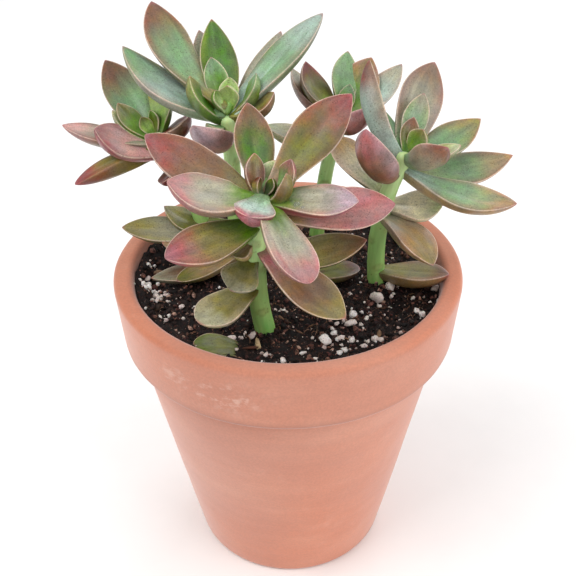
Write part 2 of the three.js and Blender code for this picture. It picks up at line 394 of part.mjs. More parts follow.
// soil last: it makes room for the stems and for whatever rests in it
let soil = solidFrom(soilGeometry());
for (const t of taken) {
  if (overlaps(soil.boundingBox(), t.box)) soil = soil.subtract(t.solid);
}
soil = mainBody(mainBody(soil).simplify(0.12));
addPiece('soil', soil, 0x35261f, 1.0);

for (const { L, body } of leafSolids) {
  addPiece(leafName(L.id), body, TONES[TONE_OF[L.id] ?? 'olive'], 0.45);
}

export default group;
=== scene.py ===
# Potted succulent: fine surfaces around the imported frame. Lengths in the tables are millimetres.
import json
import math
import random
import bpy
import numpy as np
from mathutils import Matrix, Vector, noise

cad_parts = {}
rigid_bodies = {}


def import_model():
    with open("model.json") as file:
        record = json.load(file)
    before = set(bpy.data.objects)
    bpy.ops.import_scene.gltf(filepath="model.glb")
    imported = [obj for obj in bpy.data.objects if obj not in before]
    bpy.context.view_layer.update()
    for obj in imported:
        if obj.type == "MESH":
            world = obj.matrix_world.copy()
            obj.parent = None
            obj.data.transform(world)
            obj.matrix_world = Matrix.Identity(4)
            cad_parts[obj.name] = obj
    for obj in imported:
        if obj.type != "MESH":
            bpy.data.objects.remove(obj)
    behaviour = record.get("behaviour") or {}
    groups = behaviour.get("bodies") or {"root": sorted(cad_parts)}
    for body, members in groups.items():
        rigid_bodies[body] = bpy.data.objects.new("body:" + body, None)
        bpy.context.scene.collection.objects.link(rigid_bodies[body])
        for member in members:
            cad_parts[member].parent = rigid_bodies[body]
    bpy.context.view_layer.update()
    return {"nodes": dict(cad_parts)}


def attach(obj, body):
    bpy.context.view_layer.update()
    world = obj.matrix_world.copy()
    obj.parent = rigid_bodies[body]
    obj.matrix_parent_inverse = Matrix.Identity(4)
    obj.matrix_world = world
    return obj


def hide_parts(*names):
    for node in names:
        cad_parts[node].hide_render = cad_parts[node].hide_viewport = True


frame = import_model()
scene = bpy.context.scene
MM = 0.001

# ------------------------------------------------------------------ camera
def place_camera():
    pitch, yaw, roll = math.radians(34.934), math.radians(-0.016), math.radians(-0.611)
    cp, sp, cy, sy, cr, sr = math.cos(pitch), math.sin(pitch), math.cos(yaw), math.sin(yaw), math.cos(roll), math.sin(roll)
    ahead = Vector((sy * cp, cy * cp, -sp))
    right = Vector((cy, -sy, 0))
    up = right.cross(ahead)
    r = cr * right + sr * up
    u = -sr * right + cr * up
    data = bpy.data.cameras.new("camera")
    data.sensor_width = 36
    data.lens = 56.25
    data.clip_start = 0.01
    cam = bpy.data.objects.new("camera", data)
    cam.matrix_world = Matrix(((r.x, u.x, -ahead.x, 0), (r.y, u.y, -ahead.y, -0.23372), (r.z, u.z, -ahead.z, 0.260397), (0, 0, 0, 1)))
    scene.collection.objects.link(cam)
    scene.camera = cam


place_camera()

# ------------------------------------------------------------------ tones (sRGB)
def linear(h):
    c = [int(h[i:i + 2], 16) / 255 for i in (0, 2, 4)]
    return np.array([x / 12.92 if x <= 0.04045 else ((x + 0.055) / 1.055) ** 2.4 for x in c])


TONES = {k: linear(v) for k, v in {
    'frost': 'a6bcb0',
    'sage': '7a9d71',
    'green': '648832',
    'leaf': '4b7227',
    'lime': '97b261',
    'moss': '59651f',
    'dark': '37441e',
    'olive': '6d6d31',
    'khaki': '8e854d',
    'tan': 'a2845e',
    'brown': '7d5a42',
    'umber': '532c1a',
    'wine': '783031',
    'brick': '8e4d48',
    'rose': 'a6686a',
    'pink': 'bf938e',
    'lilac': 'b39ca6',
    'stone': '9a9780',
    'cream': 'cfc4a7',
    'pale': 'b5bb8e',
    'rim': 'ecd3bf',
    'stripe': '8c4a44',
    'stem': 'a2cb76',
    'stem_low': '70b04f',
    'stem_pale': 'd0e2aa',
}.items()}

# ------------------------------------------------------------------ tables
# shoot: points up the stem, radius at the soil and at the bud
SHOOTS = {
    'a': ([(-6, -26, 96), (-8.5, -25.5, 112), (-8.5, -25, 128), (-6, -23, 145)], 3.1, 2.5, 0.948),
    'b': ([(-14, 8, 96), (-16, 10, 115), (-16.5, 10, 138), (-17.5, 9, 158)], 2.8, 2.3, 0.910),
    'c': ([(28, -3, 96), (27, -2, 112), (29, -2, 130), (34.5, -4, 148)], 2.9, 2.3, 0.955),
    'd': ([(-24, 14, 96), (-27, 15, 112), (-33, 17, 128), (-41.5, 20, 143)], 2.6, 2.1, 0.962),
    'e': ([(9, 25, 96), (11, 25, 112), (13.5, 25, 130), (19, 25, 147)], 2.6, 2.1, 0.925),
}
# leaf: id, stands for (a frame node, or the shoot it has grown together with), root, midrib control point,
# tip, upper-face direction, width, thickness, place of full width, neck share, swell ease, tip bluntness
LEAVES = [
    ('A7', 'leaf_a_07', (-8.27, -23.61, 144.01), (-20.83, -26.28, 142.96), (-30.92, -28.22, 150.75), (0.306, -0.119, 0.945), 16.30, 4.80, 0.58, 0.46, 0.71, 0.85),
    ('A1', 'leaf_a_01', (-7, -21.19, 143.35), (-8.42, -9.2, 149.6), (-10.79, -1.51, 160.56), (0.111, -0.642, 0.759), 10.80, 4.60, 0.58, 0.42, 0.61, 0.85),
    ('A9', 'leaf_a_09', (-6.87, -25.2, 143.82), (-8.56, -29.59, 142.07), (-9.98, -34.23, 143.37), (0.088, -0.079, 0.993), 11.60, 4.60, 0.58, 0.42, 0.60, 0.85),
    ('A2', 'leaf_a_02', (-4.68, -21.83, 142.86), (5.15, -9.68, 152.3), (17.94, -2.5, 163.17), (-0.049, -0.695, 0.717), 13.27, 5.00, 0.60, 0.36, 0.86, 0.85),
    ('A3', 'leaf_a_03', (-4.22, -23.61, 142.7), (7.55, -24.03, 141.9), (18.85, -27.02, 143.53), (-0.066, -0.206, 0.976), 12.39, 4.60, 0.61, 0.44, 0.55, 0.87),
    ('A5', 'leaf_a_05', (-5.47, -25.26, 142.37), (-0.87, -38.59, 138.84), (5.05, -50.94, 133.97), (0.366, -0.151, 0.918), 12.98, 5.00, 0.67, 0.46, 0.45, 0.60),
    ('A8', 'leaf_a_08', (-8.74, -22.87, 140.94), (-23.86, -15.25, 146.18), (-38.2, -11.13, 155.76), (0.258, -0.44, 0.86), 14.53, 4.80, 0.58, 0.49, 0.21, 0.78),
    ('A4', 'leaf_a_04', (-4.99, -23.76, 137.6), (12.27, -23.42, 138.29), (29.31, -20.69, 139.06), (0.011, -0.533, 0.846), 12.90, 4.60, 0.64, 0.34, 0.92, 0.80),
    ('A6', 'leaf_a_06', (-9.45, -25.4, 135.68), (-21.39, -30.8, 132.31), (-31.6, -39.41, 134.49), (0.1, -0.24, 0.966), 14.00, 5.00, 0.53, 0.42, 0.24, 0.75),
    ('A15', 'leaf_a_15', (-6.61, -26.31, 128.31), (3.53, -35.44, 122.39), (15.15, -43.32, 117.49), (0.154, -0.382, 0.911), 12.73, 4.60, 0.61, 0.36, 0.59, 0.82),
    ('A17', 'leaf_a_17', (-10.16, -26.99, 124.99), (-12.6, -29.56, 121.18), (-15.6, -33.62, 119.93), (-0.19, -0.492, 0.849), 11.76, 3.80, 0.58, 0.42, 0.60, 0.86),
    ('A20', 'leaf_a_20', (-6.39, -25.02, 124.29), (8.12, -21.66, 123.05), (21.91, -22.44, 128.77), (-0.116, -0.345, 0.932), 11.29, 4.00, 0.56, 0.42, 0.60, 0.84),
    ('A16', 'leaf_a_16', (-10.54, -27.03, 116.09), (-18.06, -32.05, 112.69), (-24.22, -39.47, 113.48), (-0.035, -0.169, 0.985), 12.50, 4.20, 0.62, 0.50, 0.40, 0.60),
    ('B1', 'leaf_b_01', (-18.65, 10.64, 155.06), (-33.58, 20.83, 162.83), (-39.27, 31.27, 178.5), (0.34, -0.537, 0.772), 13.11, 4.80, 0.67, 0.27, 1.00, 0.84),
    ('B3', 'leaf_b_03', (-17.57, 11.21, 153.56), (-19.79, 24.03, 160.41), (-21.96, 31.24, 173.05), (0.389, -0.597, 0.701), 11.76, 4.40, 0.51, 0.44, 0.48, 0.86),
    ('B10', 'leaf_b_10', (-15.59, 10.44, 152.83), (-2.92, 21.66, 163.08), (11.02, 28.63, 175.28), (-0.437, -0.371, 0.819), 11.95, 4.80, 0.58, 0.45, 0.45, 0.78),
    ('B2', 'leaf_b_02', (-19.05, 10.08, 152.58), (-36.42, 16.47, 154.44), (-47.3, 20.62, 168.94), (0.421, -0.234, 0.877), 12.50, 4.80, 0.57, 0.41, 0.58, 0.84),
    ('B12', 'leaf_b_12', (-15.23, 9.73, 152.23), (-8.36, 10.85, 153.01), (-3.51, 11.87, 157.97), (-0.421, -0.109, 0.9), 10.26, 4.00, 0.55, 0.42, 0.59, 0.87),
    ('B16', 'leaf_b_16', (-17.77, 11.24, 152.18), (-22.49, 25.85, 156.2), (-26.26, 35.33, 168.37), (0.099, -0.531, 0.842), 9.50, 3.80, 0.58, 0.42, 0.60, 0.85),
    ('B17', 'leaf_b_17', (-16.13, 11.02, 152.25), (-7.36, 25.1, 155.57), (-1.37, 35.01, 167.9), (-0.269, -0.404, 0.874), 9.50, 3.80, 0.58, 0.42, 0.60, 0.85),
    ('B14', 'leaf_b_14', (-17.84, 7.93, 145.51), (-19.75, -1.16, 149.12), (-25.73, -5.51, 155.8), (0.064, 0.583, 0.81), 12.66, 4.40, 0.54, 0.43, 0.53, 0.87),
    ('L2', 'leaf_b_low_2', (-18.15, 10.54, 114.64), (-29.72, 13.34, 110.48), (-39.24, 16.05, 118.29), (0.127, -0.163, 0.978), 10.97, 4.00, 0.57, 0.42, 0.61, 0.88),
    ('L1', 'leaf_b_low_1', (-18.08, 9.77, 112.42), (-35.24, 11.36, 111.46), (-51.98, 8.86, 114.81), (0.075, -0.241, 0.968), 10.89, 4.40, 0.64, 0.42, 0.60, 0.79),
    ('L3', 'leaf_b_low_3', (-17.75, 9.02, 109.23), (-28.6, 6.55, 109.25), (-39.11, 4.02, 111.91), (0.131, -0.026, 0.991), 10.50, 3.80, 0.62, 0.42, 0.60, 0.60),
    ('L5', 'leaf_b_low_5', (-16.82, 7.59, 104.85), (-25.39, 0.42, 104.88), (-33.97, -6.76, 104.91), (0.006, -0.002, 1), 8.00, 3.60, 0.60, 0.42, 0.60, 0.60),
    ('L4', 'leaf_b_low_4', (-16.94, 7.94, 102.52), (-29.83, 2.97, 101.06), (-42.67, -2.02, 102.9), (0.018, -0.007, 1), 8.50, 3.80, 0.58, 0.42, 0.60, 0.85),
    ('C6', 'leaf_c_06', (34.92, -5.19, 145), (38.7, -10.87, 147.29), (43.56, -13.21, 152.05), (0.231, 0.771, 0.594), 10.59, 3.80, 0.59, 0.42, 0.60, 0.83),
    ('C3', 'leaf_c_03', (32.24, -1.94, 144.75), (24.18, 5.79, 154.79), (24.12, 16.11, 165.7), (0.946, 0.308, 0.101), 8.40, 4.40, 0.60, 0.43, 0.57, 0.82),
    ('C7', 'leaf_c_07', (34.89, -2.47, 143.75), (46.04, 4.22, 143.62), (56.25, 7.51, 150.96), (-0.104, -0.428, 0.898), 11.06, 4.00, 0.57, 0.42, 0.60, 0.89),
    ('C1', 'leaf_c_01', (33.57, -1.57, 144.28), (37.04, 10.15, 152.84), (43.17, 17.42, 164.34), (0.365, -0.757, 0.542), 13.70, 4.60, 0.61, 0.47, 0.43, 0.84),
    ('C10', 'leaf_c_10', (34.13, -3.97, 140.9), (48.67, -8.63, 132.41), (63.48, -16.89, 136.58), (0.021, -0.274, 0.962), 10.60, 5.20, 0.60, 0.25, 0.95, 0.83),
    ('C9', 'leaf_c_09', (34.08, -2.58, 140.49), (49.81, 3.11, 133.6), (66.44, 5, 140.46), (0.086, -0.365, 0.927), 11.92, 4.40, 0.56, 0.42, 0.60, 0.92),
    ('C11', 'leaf_c_11', (29.8, -3.83, 139.52), (24.09, -11.25, 146.41), (21.25, -12.86, 157.56), (0.542, 0.62, 0.567), 13.34, 4.60, 0.52, 0.43, 0.55, 0.84),
    ('C12', 'leaf_c_12', (27.96, -0.59, 132.04), (20.35, 7.88, 134.48), (15.1, 14.39, 142.57), (-0.017, -0.585, 0.811), 8.64, 4.60, 0.77, 0.36, 0.95, 0.84),
    ('C14', 'leaf_c_14', (30.79, -1.99, 128.05), (38.37, -1.08, 126.4), (45.84, -2.52, 128.16), (-0.017, -0.295, 0.955), 11.97, 4.00, 0.58, 0.43, 0.57, 0.83),
    ('C15', 'leaf_c_15', (29.53, -3.53, 125.34), (37.07, -11.38, 123.9), (41.45, -19.63, 118.15), (0.403, -0.108, 0.909), 14.06, 4.20, 0.55, 0.48, 0.49, 0.86),
    ('C16', 'leaf_c_16', (29.38, -3.13, 105.79), (39.64, -4.95, 105.83), (48.33, -10.05, 108.47), (-0.107, 0.089, 0.99), 11.60, 5.00, 0.53, 0.49, 0.41, 0.83),
    ('D3', 'leaf_d_03', (-39.62, 20.97, 141.42), (-38.92, 27.19, 146.5), (-40.31, 31.6, 153.1), (-0.662, -0.573, 0.482), 12.50, 3.60, 0.52, 0.42, 0.60, 0.85),
    ('D1', 'leaf_d_01', (-40.61, 21.22, 140.23), (-49.22, 32.12, 146.18), (-56.27, 36.89, 158.66), (0.132, -0.697, 0.705), 12.50, 4.00, 0.58, 0.42, 0.60, 0.83),
    ('D8', 'leaf_d_08', (-38.4, 19.89, 141.14), (-33.22, 21.05, 142.82), (-29.48, 22.65, 146.64), (-0.554, 0.163, 0.816), 11.00, 3.80, 0.58, 0.42, 0.60, 0.85),
    ('D5', 'leaf_d_05', (-41.26, 18.77, 139.2), (-54.91, 17.95, 140.95), (-67.21, 15.52, 146.69), (0.279, -0.015, 0.96), 10.29, 3.80, 0.62, 0.42, 0.60, 0.82),
    ('D7', 'leaf_d_07', (-40.35, 18.23, 137.86), (-53.08, 12.51, 137.83), (-63.95, 6.6, 131.37), (-0.238, -0.059, 0.97), 8.60, 5.60, 0.58, 0.42, 0.60, 0.60),
    ('D6', 'leaf_d_06', (-39.62, 17.66, 137.16), (-50.08, 15.42, 139.33), (-56.83, 11.75, 147.08), (0.541, -0.208, 0.815), 13.00, 5.00, 0.56, 0.48, 0.27, 0.83),
    ('E3', 'leaf_e_03', (18.17, 26.77, 145.58), (17.75, 36.31, 150.08), (19.65, 41.73, 158.94), (0.36, -0.641, 0.678), 9.00, 3.80, 0.58, 0.42, 0.60, 0.85),
    ('E1', 'leaf_e_01', (16.79, 26.17, 144.76), (8.53, 32.74, 147.83), (6.2, 38.12, 157.15), (0.56, -0.303, 0.771), 10.89, 4.00, 0.57, 0.42, 0.59, 0.87),
    ('E4', 'leaf_e_04', (18.27, 26.75, 143.36), (22.14, 36.34, 147.91), (27.04, 40.08, 157.39), (-0.065, -0.703, 0.708), 12.83, 4.20, 0.54, 0.43, 0.52, 0.85),
    ('E2', 'leaf_e_02', (16.29, 26.15, 143.41), (7.31, 33.69, 145.67), (1.94, 40.15, 154.16), (0.496, -0.149, 0.856), 9.50, 4.00, 0.58, 0.42, 0.60, 0.85),
    ('E5', 'leaf_e_05', (18.82, 26.29, 142.51), (28.7, 34.6, 145.74), (36.57, 38.75, 155.64), (-0.248, -0.513, 0.822), 9.50, 3.80, 0.58, 0.42, 0.60, 0.85),
    ('E6', 'leaf_e_06', (17.93, 23.32, 141.69), (21.52, 18.47, 145.58), (24.82, 15.71, 151.34), (-0.103, 0.744, 0.66), 8.00, 3.80, 0.58, 0.42, 0.60, 0.85),
    ('E7', 'leaf_e_07', (14.07, 25.01, 138.49), (3.19, 25.07, 136.72), (-6.69, 25.14, 141.59), (0.147, 0.001, 0.989), 11.00, 4.20, 0.58, 0.42, 0.60, 0.85),
    ('G1', 'fallen_leaf_1', (-11.16, -32.39, 97.5), (-18.66, -34.14, 101.32), (-26.83, -36.06, 103.2), (0.325, 0.076, 0.943), 10.50, 4.00, 0.60, 0.50, 0.60, 0.60),
    ('G2', 'fallen_leaf_2', (5.62, -0.31, 101.5), (14, 0.56, 103.53), (22.61, 1.46, 103.5), (-0.116, -0.012, 0.993), 9.50, 4.20, 0.60, 0.50, 0.60, 0.55),
    ('A10', 'shoot_a', (-7.47, -21.99, 142.45), (-9.22, -18.33, 147.02), (-8.58, -17.17, 152.99), (0.642, -0.669, 0.374), 6.50, 3.00, 0.58, 0.42, 0.60, 0.85),
    ('A11', 'shoot_a', (-5.09, -22.45, 142.12), (-0.09, -19.05, 145.05), (1.1, -18.14, 151.59), (-0.656, -0.427, 0.623), 7.60, 3.20, 0.58, 0.42, 0.60, 0.85),
    ('B4', 'shoot_b', (-17.82, 10.86, 153.33), (-20.34, 17, 158.12), (-21.73, 19.27, 165.85), (0.228, -0.774, 0.591), 7.20, 3.20, 0.58, 0.42, 0.60, 0.85),
    ('B5', 'shoot_b', (-18.95, 9.94, 151.15), (-25.17, 10.84, 155.77), (-27.53, 11.63, 163.17), (0.812, -0.021, 0.583), 10.00, 3.80, 0.58, 0.42, 0.60, 0.85),
    ('B9', 'shoot_b', (-15.73, 10.38, 152.24), (-10.48, 13, 156.06), (-8.66, 15.32, 162.41), (-0.802, -0.071, 0.593), 9.00, 3.60, 0.58, 0.42, 0.60, 0.85),
    ('C2', 'shoot_c', (33.8, -2.1, 145.44), (36.16, 4.61, 151.07), (39.11, 6.54, 159.41), (0.106, -0.863, 0.494), 7.40, 3.20, 0.58, 0.42, 0.60, 0.85),
    ('C4', 'shoot_c', (34.41, -2.75, 144.55), (37.31, -1.79, 148.14), (38.03, -2.99, 152.64), (-0.681, -0.674, 0.285), 7.00, 3.00, 0.58, 0.42, 0.60, 0.85),
    ('D2', 'shoot_d', (-41.59, 20.24, 140.42), (-47.86, 23.06, 143.36), (-51.56, 24.37, 149.73), (0.566, -0.334, 0.754), 8.40, 3.20, 0.58, 0.42, 0.60, 0.85),
    ('D9', 'shoot_d', (-36.07, 16.1, 132.11), (-36.46, 13.13, 130.06), (-38.16, 9.92, 129.78), (-0.594, -0.101, 0.798), 7.00, 3.20, 0.58, 0.42, 0.60, 0.85),
    ('C18', 'shoot_c', (31.65, -1.1, 140.81), (29.32, 9.95, 141.85), (29.38, 18.77, 148.99), (0.346, -0.323, 0.881), 9.50, 3.80, 0.58, 0.42, 0.60, 0.85),
    ('A18', 'shoot_a', (-10.33, -25.95, 129.96), (-12.3, -27.11, 128.08), (-14.88, -28.55, 127.87), (-0.338, -0.156, 0.928), 7.00, 3.00, 0.58, 0.42, 0.60, 0.85),
    ('B13', 'shoot_b', (-18.47, 8.11, 149.01), (-20.91, 5.76, 149.45), (-22.7, 4.01, 151.78), (0.309, 0.293, 0.905), 5.00, 2.60, 0.58, 0.42, 0.60, 0.85),
    ('B6', 'shoot_b', (-18.04, 9.71, 153.84), (-19.88, 10.64, 156.19), (-20.26, 10.59, 159.3), (0.762, -0.514, 0.393), 4.20, 2.40, 0.58, 0.42, 0.60, 0.85),
    ('B7', 'shoot_b', (-16.84, 10.43, 152.77), (-16.31, 12.42, 156.43), (-16.93, 10.97, 160.31), (-0.317, -0.946, 0.064), 6.60, 3.00, 0.58, 0.42, 0.60, 0.85),
    ('B8', 'shoot_b', (-17.13, 10.01, 153.91), (-16.51, 13.93, 156.65), (-16.39, 15.57, 161.18), (-0.174, -0.774, 0.609), 6.00, 2.80, 0.58, 0.42, 0.60, 0.85),
    ('C5', 'shoot_c', (33.66, -2.79, 145.4), (34.61, 1.64, 148.57), (36.22, 3.32, 153.58), (0.193, -0.814, 0.548), 5.50, 2.60, 0.58, 0.42, 0.60, 0.85),
    ('C8', 'shoot_c', (35.7, -3.72, 145.23), (42.78, -3.81, 144.75), (48.82, -4.37, 148.44), (-0.241, -0.106, 0.965), 6.50, 3.00, 0.58, 0.42, 0.60, 0.85),
    ('A12', 'shoot_a', (-7.14, -22.89, 143.04), (-7.87, -22.09, 145.65), (-7.01, -21.93, 148.33), (0.927, -0.372, 0.046), 3.40, 2.00, 0.58, 0.42, 0.60, 0.85),
    ('A13', 'shoot_a', (-4.99, -23.79, 142.27), (-0.48, -24.71, 145.1), (-0.26, -23.83, 150.43), (-0.812, 0.342, 0.472), 7.50, 3.00, 0.58, 0.42, 0.60, 0.85),
    ('A14', 'shoot_a', (-5.77, -22.82, 143.35), (-4.33, -21.69, 145.18), (-3.99, -21.43, 147.73), (-0.7, -0.547, 0.459), 3.60, 2.20, 0.58, 0.42, 0.60, 0.85),
    ('A24', 'shoot_a', (-6.1, -22.07, 142.23), (-4.5, -17.18, 144.66), (-3.2, -14.66, 149.59), (-0.086, -0.685, 0.723), 8.50, 3.00, 0.58, 0.42, 0.60, 0.85),
    ('D4', 'shoot_d', (-41.15, 19.75, 138.9), (-48.64, 22.03, 141.29), (-53.36, 23.65, 147.77), (0.555, -0.132, 0.821), 6.00, 3.00, 0.58, 0.42, 0.60, 0.85),
    ('E9', 'shoot_e', (17.66, 26.19, 143.49), (18.31, 30.53, 146.85), (19.9, 32.12, 151.89), (0.277, -0.818, 0.504), 5.50, 3.00, 0.58, 0.42, 0.60, 0.85),
    ('E10', 'shoot_e', (16.87, 25.7, 143.77), (15.78, 27.2, 146.96), (16.57, 27.53, 150.56), (0.833, -0.523, 0.178), 5.50, 3.00, 0.58, 0.42, 0.60, 0.85),
    ('D11', 'shoot_d', (-40.04, 20.3, 141.32), (-40.1, 22.98, 144.14), (-41.8, 24.02, 147.48), (-0.689, -0.691, 0.219), 4.60, 2.60, 0.58, 0.42, 0.60, 0.85),
    ('D12', 'shoot_d', (-40.85, 20.24, 140.85), (-43.09, 21.84, 142.96), (-44.42, 21.88, 146.16), (0.43, -0.74, 0.517), 4.40, 2.40, 0.58, 0.42, 0.60, 0.85),
]
# tones at the leaf's neck, middle and tip, tone of its edges, how strongly the edges take it
LOOKS = {
    'A1': ('green', 'leaf', 'brown', 'brick', 0.55, ''),
    'A2': ('tan', 'olive', 'brick', 'brick', 0.45, ''),
    'A3': ('green', 'stone', 'lilac', 'rose', 0.5, 'rose_below'),
    'A4': ('khaki', 'pink', 'rose', 'brick', 0.45, ''),
    'A5': ('green', 'stone', 'rose', 'rose', 0.45, 'stripes'),
    'A6': ('green', 'khaki', 'rose', 'brick', 0.35, 'stripes'),
    'A7': ('green', 'stone', 'rose', 'brick', 0.6, ''),
    'A8': ('khaki', 'brown', 'brick', 'brown', 0.35, ''),
    'A9': ('sage', 'frost', 'rose', 'rose', 0.5, 'rose_below'),
    'A10': ('olive', 'brown', 'khaki', 'brick', 0.5, ''),
    'A11': ('leaf', 'green', 'rose', 'rose', 0.5, ''),
    'A12': ('sage', 'khaki', 'umber', 'umber', 0.3, ''),
    'A13': ('green', 'olive', 'khaki', 'brick', 0.4, ''),
    'A14': ('dark', 'dark', 'moss', 'moss', 0.1, ''),
    'A24': ('dark', 'moss', 'pale', 'pale', 0.3, ''),
    'A15': ('rose', 'brown', 'khaki', 'tan', 0.3, ''),
    'A16': ('khaki', 'khaki', 'stone', 'cream', 0.4, ''),
    'A17': ('olive', 'khaki', 'stone', 'stone', 0.3, 'dull_rim'),
    'A18': ('tan', 'tan', 'khaki', 'pale', 0.3, ''),
    'A20': ('stone', 'khaki', 'brown', 'khaki', 0.3, ''),
    'B1': ('khaki', 'sage', 'brown', 'brick', 0.6, ''),
    'B2': ('sage', 'frost', 'sage', 'brown', 0.6, ''),
    'B3': ('leaf', 'leaf', 'leaf', 'khaki', 0.3, ''),
    'B4': ('lime', 'green', 'sage', 'pale', 0.3, ''),
    'B5': ('leaf', 'leaf', 'khaki', 'lime', 0.4, ''),
    'B6': ('lime', 'lime', 'green', 'lime', 0.2, ''),
    'B7': ('green', 'lime', 'lime', 'pale', 0.3, ''),
    'B8': ('green', 'lime', 'lime', 'pale', 0.3, ''),
    'B9': ('olive', 'green', 'sage', 'pale', 0.3, ''),
    'B10': ('frost', 'sage', 'frost', 'brown', 0.5, 'frost'),
    'B12': ('khaki', 'olive', 'khaki', 'rose', 0.5, ''),
    'B13': ('leaf', 'sage', 'sage', 'pale', 0.3, ''),
    'B14': ('khaki', 'pink', 'lilac', 'pink', 0.4, 'plain_below'),
    'B16': ('sage', 'pale', 'stone', 'pink', 0.4, ''),
    'B17': ('sage', 'stone', 'stone', 'stone', 0.3, ''),
    'C1': ('sage', 'stone', 'brown', 'brick', 0.5, ''),
    'C2': ('frost', 'sage', 'stone', 'pale', 0.3, 'frost'),
    'C3': ('frost', 'frost', 'brick', 'brown', 0.7, ''),
    'C4': ('moss', 'green', 'khaki', 'pale', 0.4, ''),
    'C5': ('leaf', 'olive', 'brown', 'khaki', 0.3, ''),
    'C6': ('sage', 'stone', 'brown', 'brick', 0.5, ''),
    'C7': ('sage', 'sage', 'khaki', 'brick', 0.45, ''),
    'C8': ('stone', 'khaki', 'pale', 'pale', 0.3, ''),
    'C9': ('pale', 'sage', 'tan', 'brick', 0.5, ''),
    'C10': ('frost', 'sage', 'tan', 'brick', 0.5, 'tan_below'),
    'C11': ('brick', 'brown', 'rose', 'lilac', 0.45, 'plain_below'),
    'C12': ('pale', 'cream', 'tan', 'pink', 0.3, 'olive_below'),
    'C14': ('cream', 'cream', 'pale', 'cream', 0.3, 'plain_below'),
    'C15': ('stone', 'tan', 'khaki', 'pink', 0.3, ''),
    'C16': ('khaki', 'khaki', 'brown', 'rose', 0.5, 'tan_below'),
    'C18': ('sage', 'sage', 'sage', 'sage', 0.2, ''),
    'D1': ('green', 'sage', 'brown', 'brown', 0.4, ''),
    'D2': ('green', 'green', 'khaki', 'khaki', 0.35, ''),
    'D3': ('green', 'lime', 'khaki', 'khaki', 0.3, ''),
    'D4': ('green', 'lime', 'pale', 'pale', 0.2, ''),
    'D5': ('stone', 'stone', 'pink', 'brick', 0.55, ''),
    'D6': ('pink', 'pink', 'brick', 'rose', 0.35, 'rose_below'),
    'D7': ('olive', 'khaki', 'brick', 'brick', 0.35, 'no_rim'),
    'D8': ('wine', 'umber', 'wine', 'cream', 0.2, ''),
    'D9': ('umber', 'umber', 'wine', 'umber', 0.3, ''),
    'D11': ('moss', 'moss', 'green', 'green', 0.2, ''),
    'D12': ('green', 'lime', 'olive', 'khaki', 0.3, ''),
    'E1': ('lime', 'olive', 'wine', 'wine', 0.3, 'plain_below'),
    'E2': ('tan', 'umber', 'stone', 'pink', 0.4, ''),
    'E3': ('green', 'sage', 'sage', 'pale', 0.3, ''),
    'E4': ('green', 'green', 'tan', 'rose', 0.5, ''),
    'E5': ('pink', 'frost', 'stone', 'pink', 0.3, ''),
    'E6': ('brick', 'rose', 'rose', 'lilac', 0.4, 'plain_below'),
    'E7': ('olive', 'cream', 'pale', 'cream', 0.3, ''),
    'E9': ('olive', 'green', 'sage', 'sage', 0.2, ''),
    'E10': ('green', 'green', 'sage', 'sage', 0.2, ''),
    'G1': ('moss', 'olive', 'moss', 'olive', 0.3, 'olive_below'),
    'G2': ('umber', 'olive', 'umber', 'brown', 0.3, 'dull_rim'),
    'L1': ('khaki', 'stone', 'khaki', 'olive', 0.3, ''),
    'L2': ('moss', 'olive', 'khaki', 'olive', 0.3, ''),
    'L3': ('brown', 'brown', 'tan', 'khaki', 0.3, ''),
    'L4': ('brown', 'brown', 'stone', 'stone', 0.3, ''),
    'L5': ('tan', 'tan', 'olive', 'olive', 0.3, ''),
}

# ------------------------------------------------------------------ numbers
def unit(v):
    v = np.asarray(v, float)
    return v / np.linalg.norm(v)


def smooth(a, b, x):
    t = np.clip((np.asarray(x, float) - a) / (b - a), 0, 1)
    return t * t * (3 - 2 * t)


def lattice(ix, iy, iz):
    h = (ix * 374761393 + iy * 668265263 + iz * 2147483647) & 0xFFFFFFFF
    h = ((h ^ (h >> 13)) * 1274126177) & 0xFFFFFFFF
    h = h ^ (h >> 16)
    return (h & 0xFFFF) / 65535.0


def vnoise(x, y, z=0.0):
    """Value noise between 0 and 1."""
    x, y, z = np.broadcast_arrays(np.asarray(x, float), np.asarray(y, float), np.asarray(z, float))
    fx, fy, fz = np.floor(x), np.floor(y), np.floor(z)
    u, v, w = x - fx, y - fy, z - fz
    u, v, w = (q * q * (3 - 2 * q) for q in (u, v, w))
    a, b, c = (q.astype(np.int64) for q in (fx, fy, fz))
    out = 0
    for i in (0, 1):
        for j in (0, 1):
            for k in (0, 1):
                out = out + lattice(a + i, b + j, c + k) * (u if i else 1 - u) * (v if j else 1 - v) * (w if k else 1 - w)
    return out


def fractal(x, y, z=0.0, octaves=3):
    total, amount, size = 0, 0.5, 1.0
    for o in range(octaves):
        total = total + amount * vnoise(x * size + 17.3 * o, y * size - 5.1 * o, np.asarray(z, float) * size)
        amount *= 0.5
        size *= 2.03
    return total / (1 - 0.5 ** octaves)


def mix(a, b, w):
    w = np.asarray(w, float)[..., None]
    return a * (1 - w) + b * w


# ------------------------------------------------------------------ objects
def add_mesh(name, verts, faces, material, tint=None, grain=None):
    me = bpy.data.meshes.new(name)
    me.from_pydata((np.asarray(verts, float) * MM).tolist(), [], faces)
    me.polygons.foreach_set("use_smooth", np.ones(len(me.polygons), bool))
    if tint is not None:
        at = me.color_attributes.new("tint", "FLOAT_COLOR", "POINT")
        rgba = np.ones((len(verts), 4))
        rgba[:, :3] = np.clip(tint, 0, 1)
        at.data.foreach_set("color", rgba.ravel())
    if grain is not None:
        at = me.attributes.new("grain", "FLOAT_VECTOR", "POINT")
        at.data.foreach_set("vector", np.asarray(grain, float).ravel())
    me.update()
    ob = bpy.data.objects.new(name, me)
    ob.data.materials.append(material)
    scene.collection.objects.link(ob)
    return ob


def place(ob, slot, *nodes):
    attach(ob, "root")
    if nodes:
        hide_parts(*nodes)
    return ob


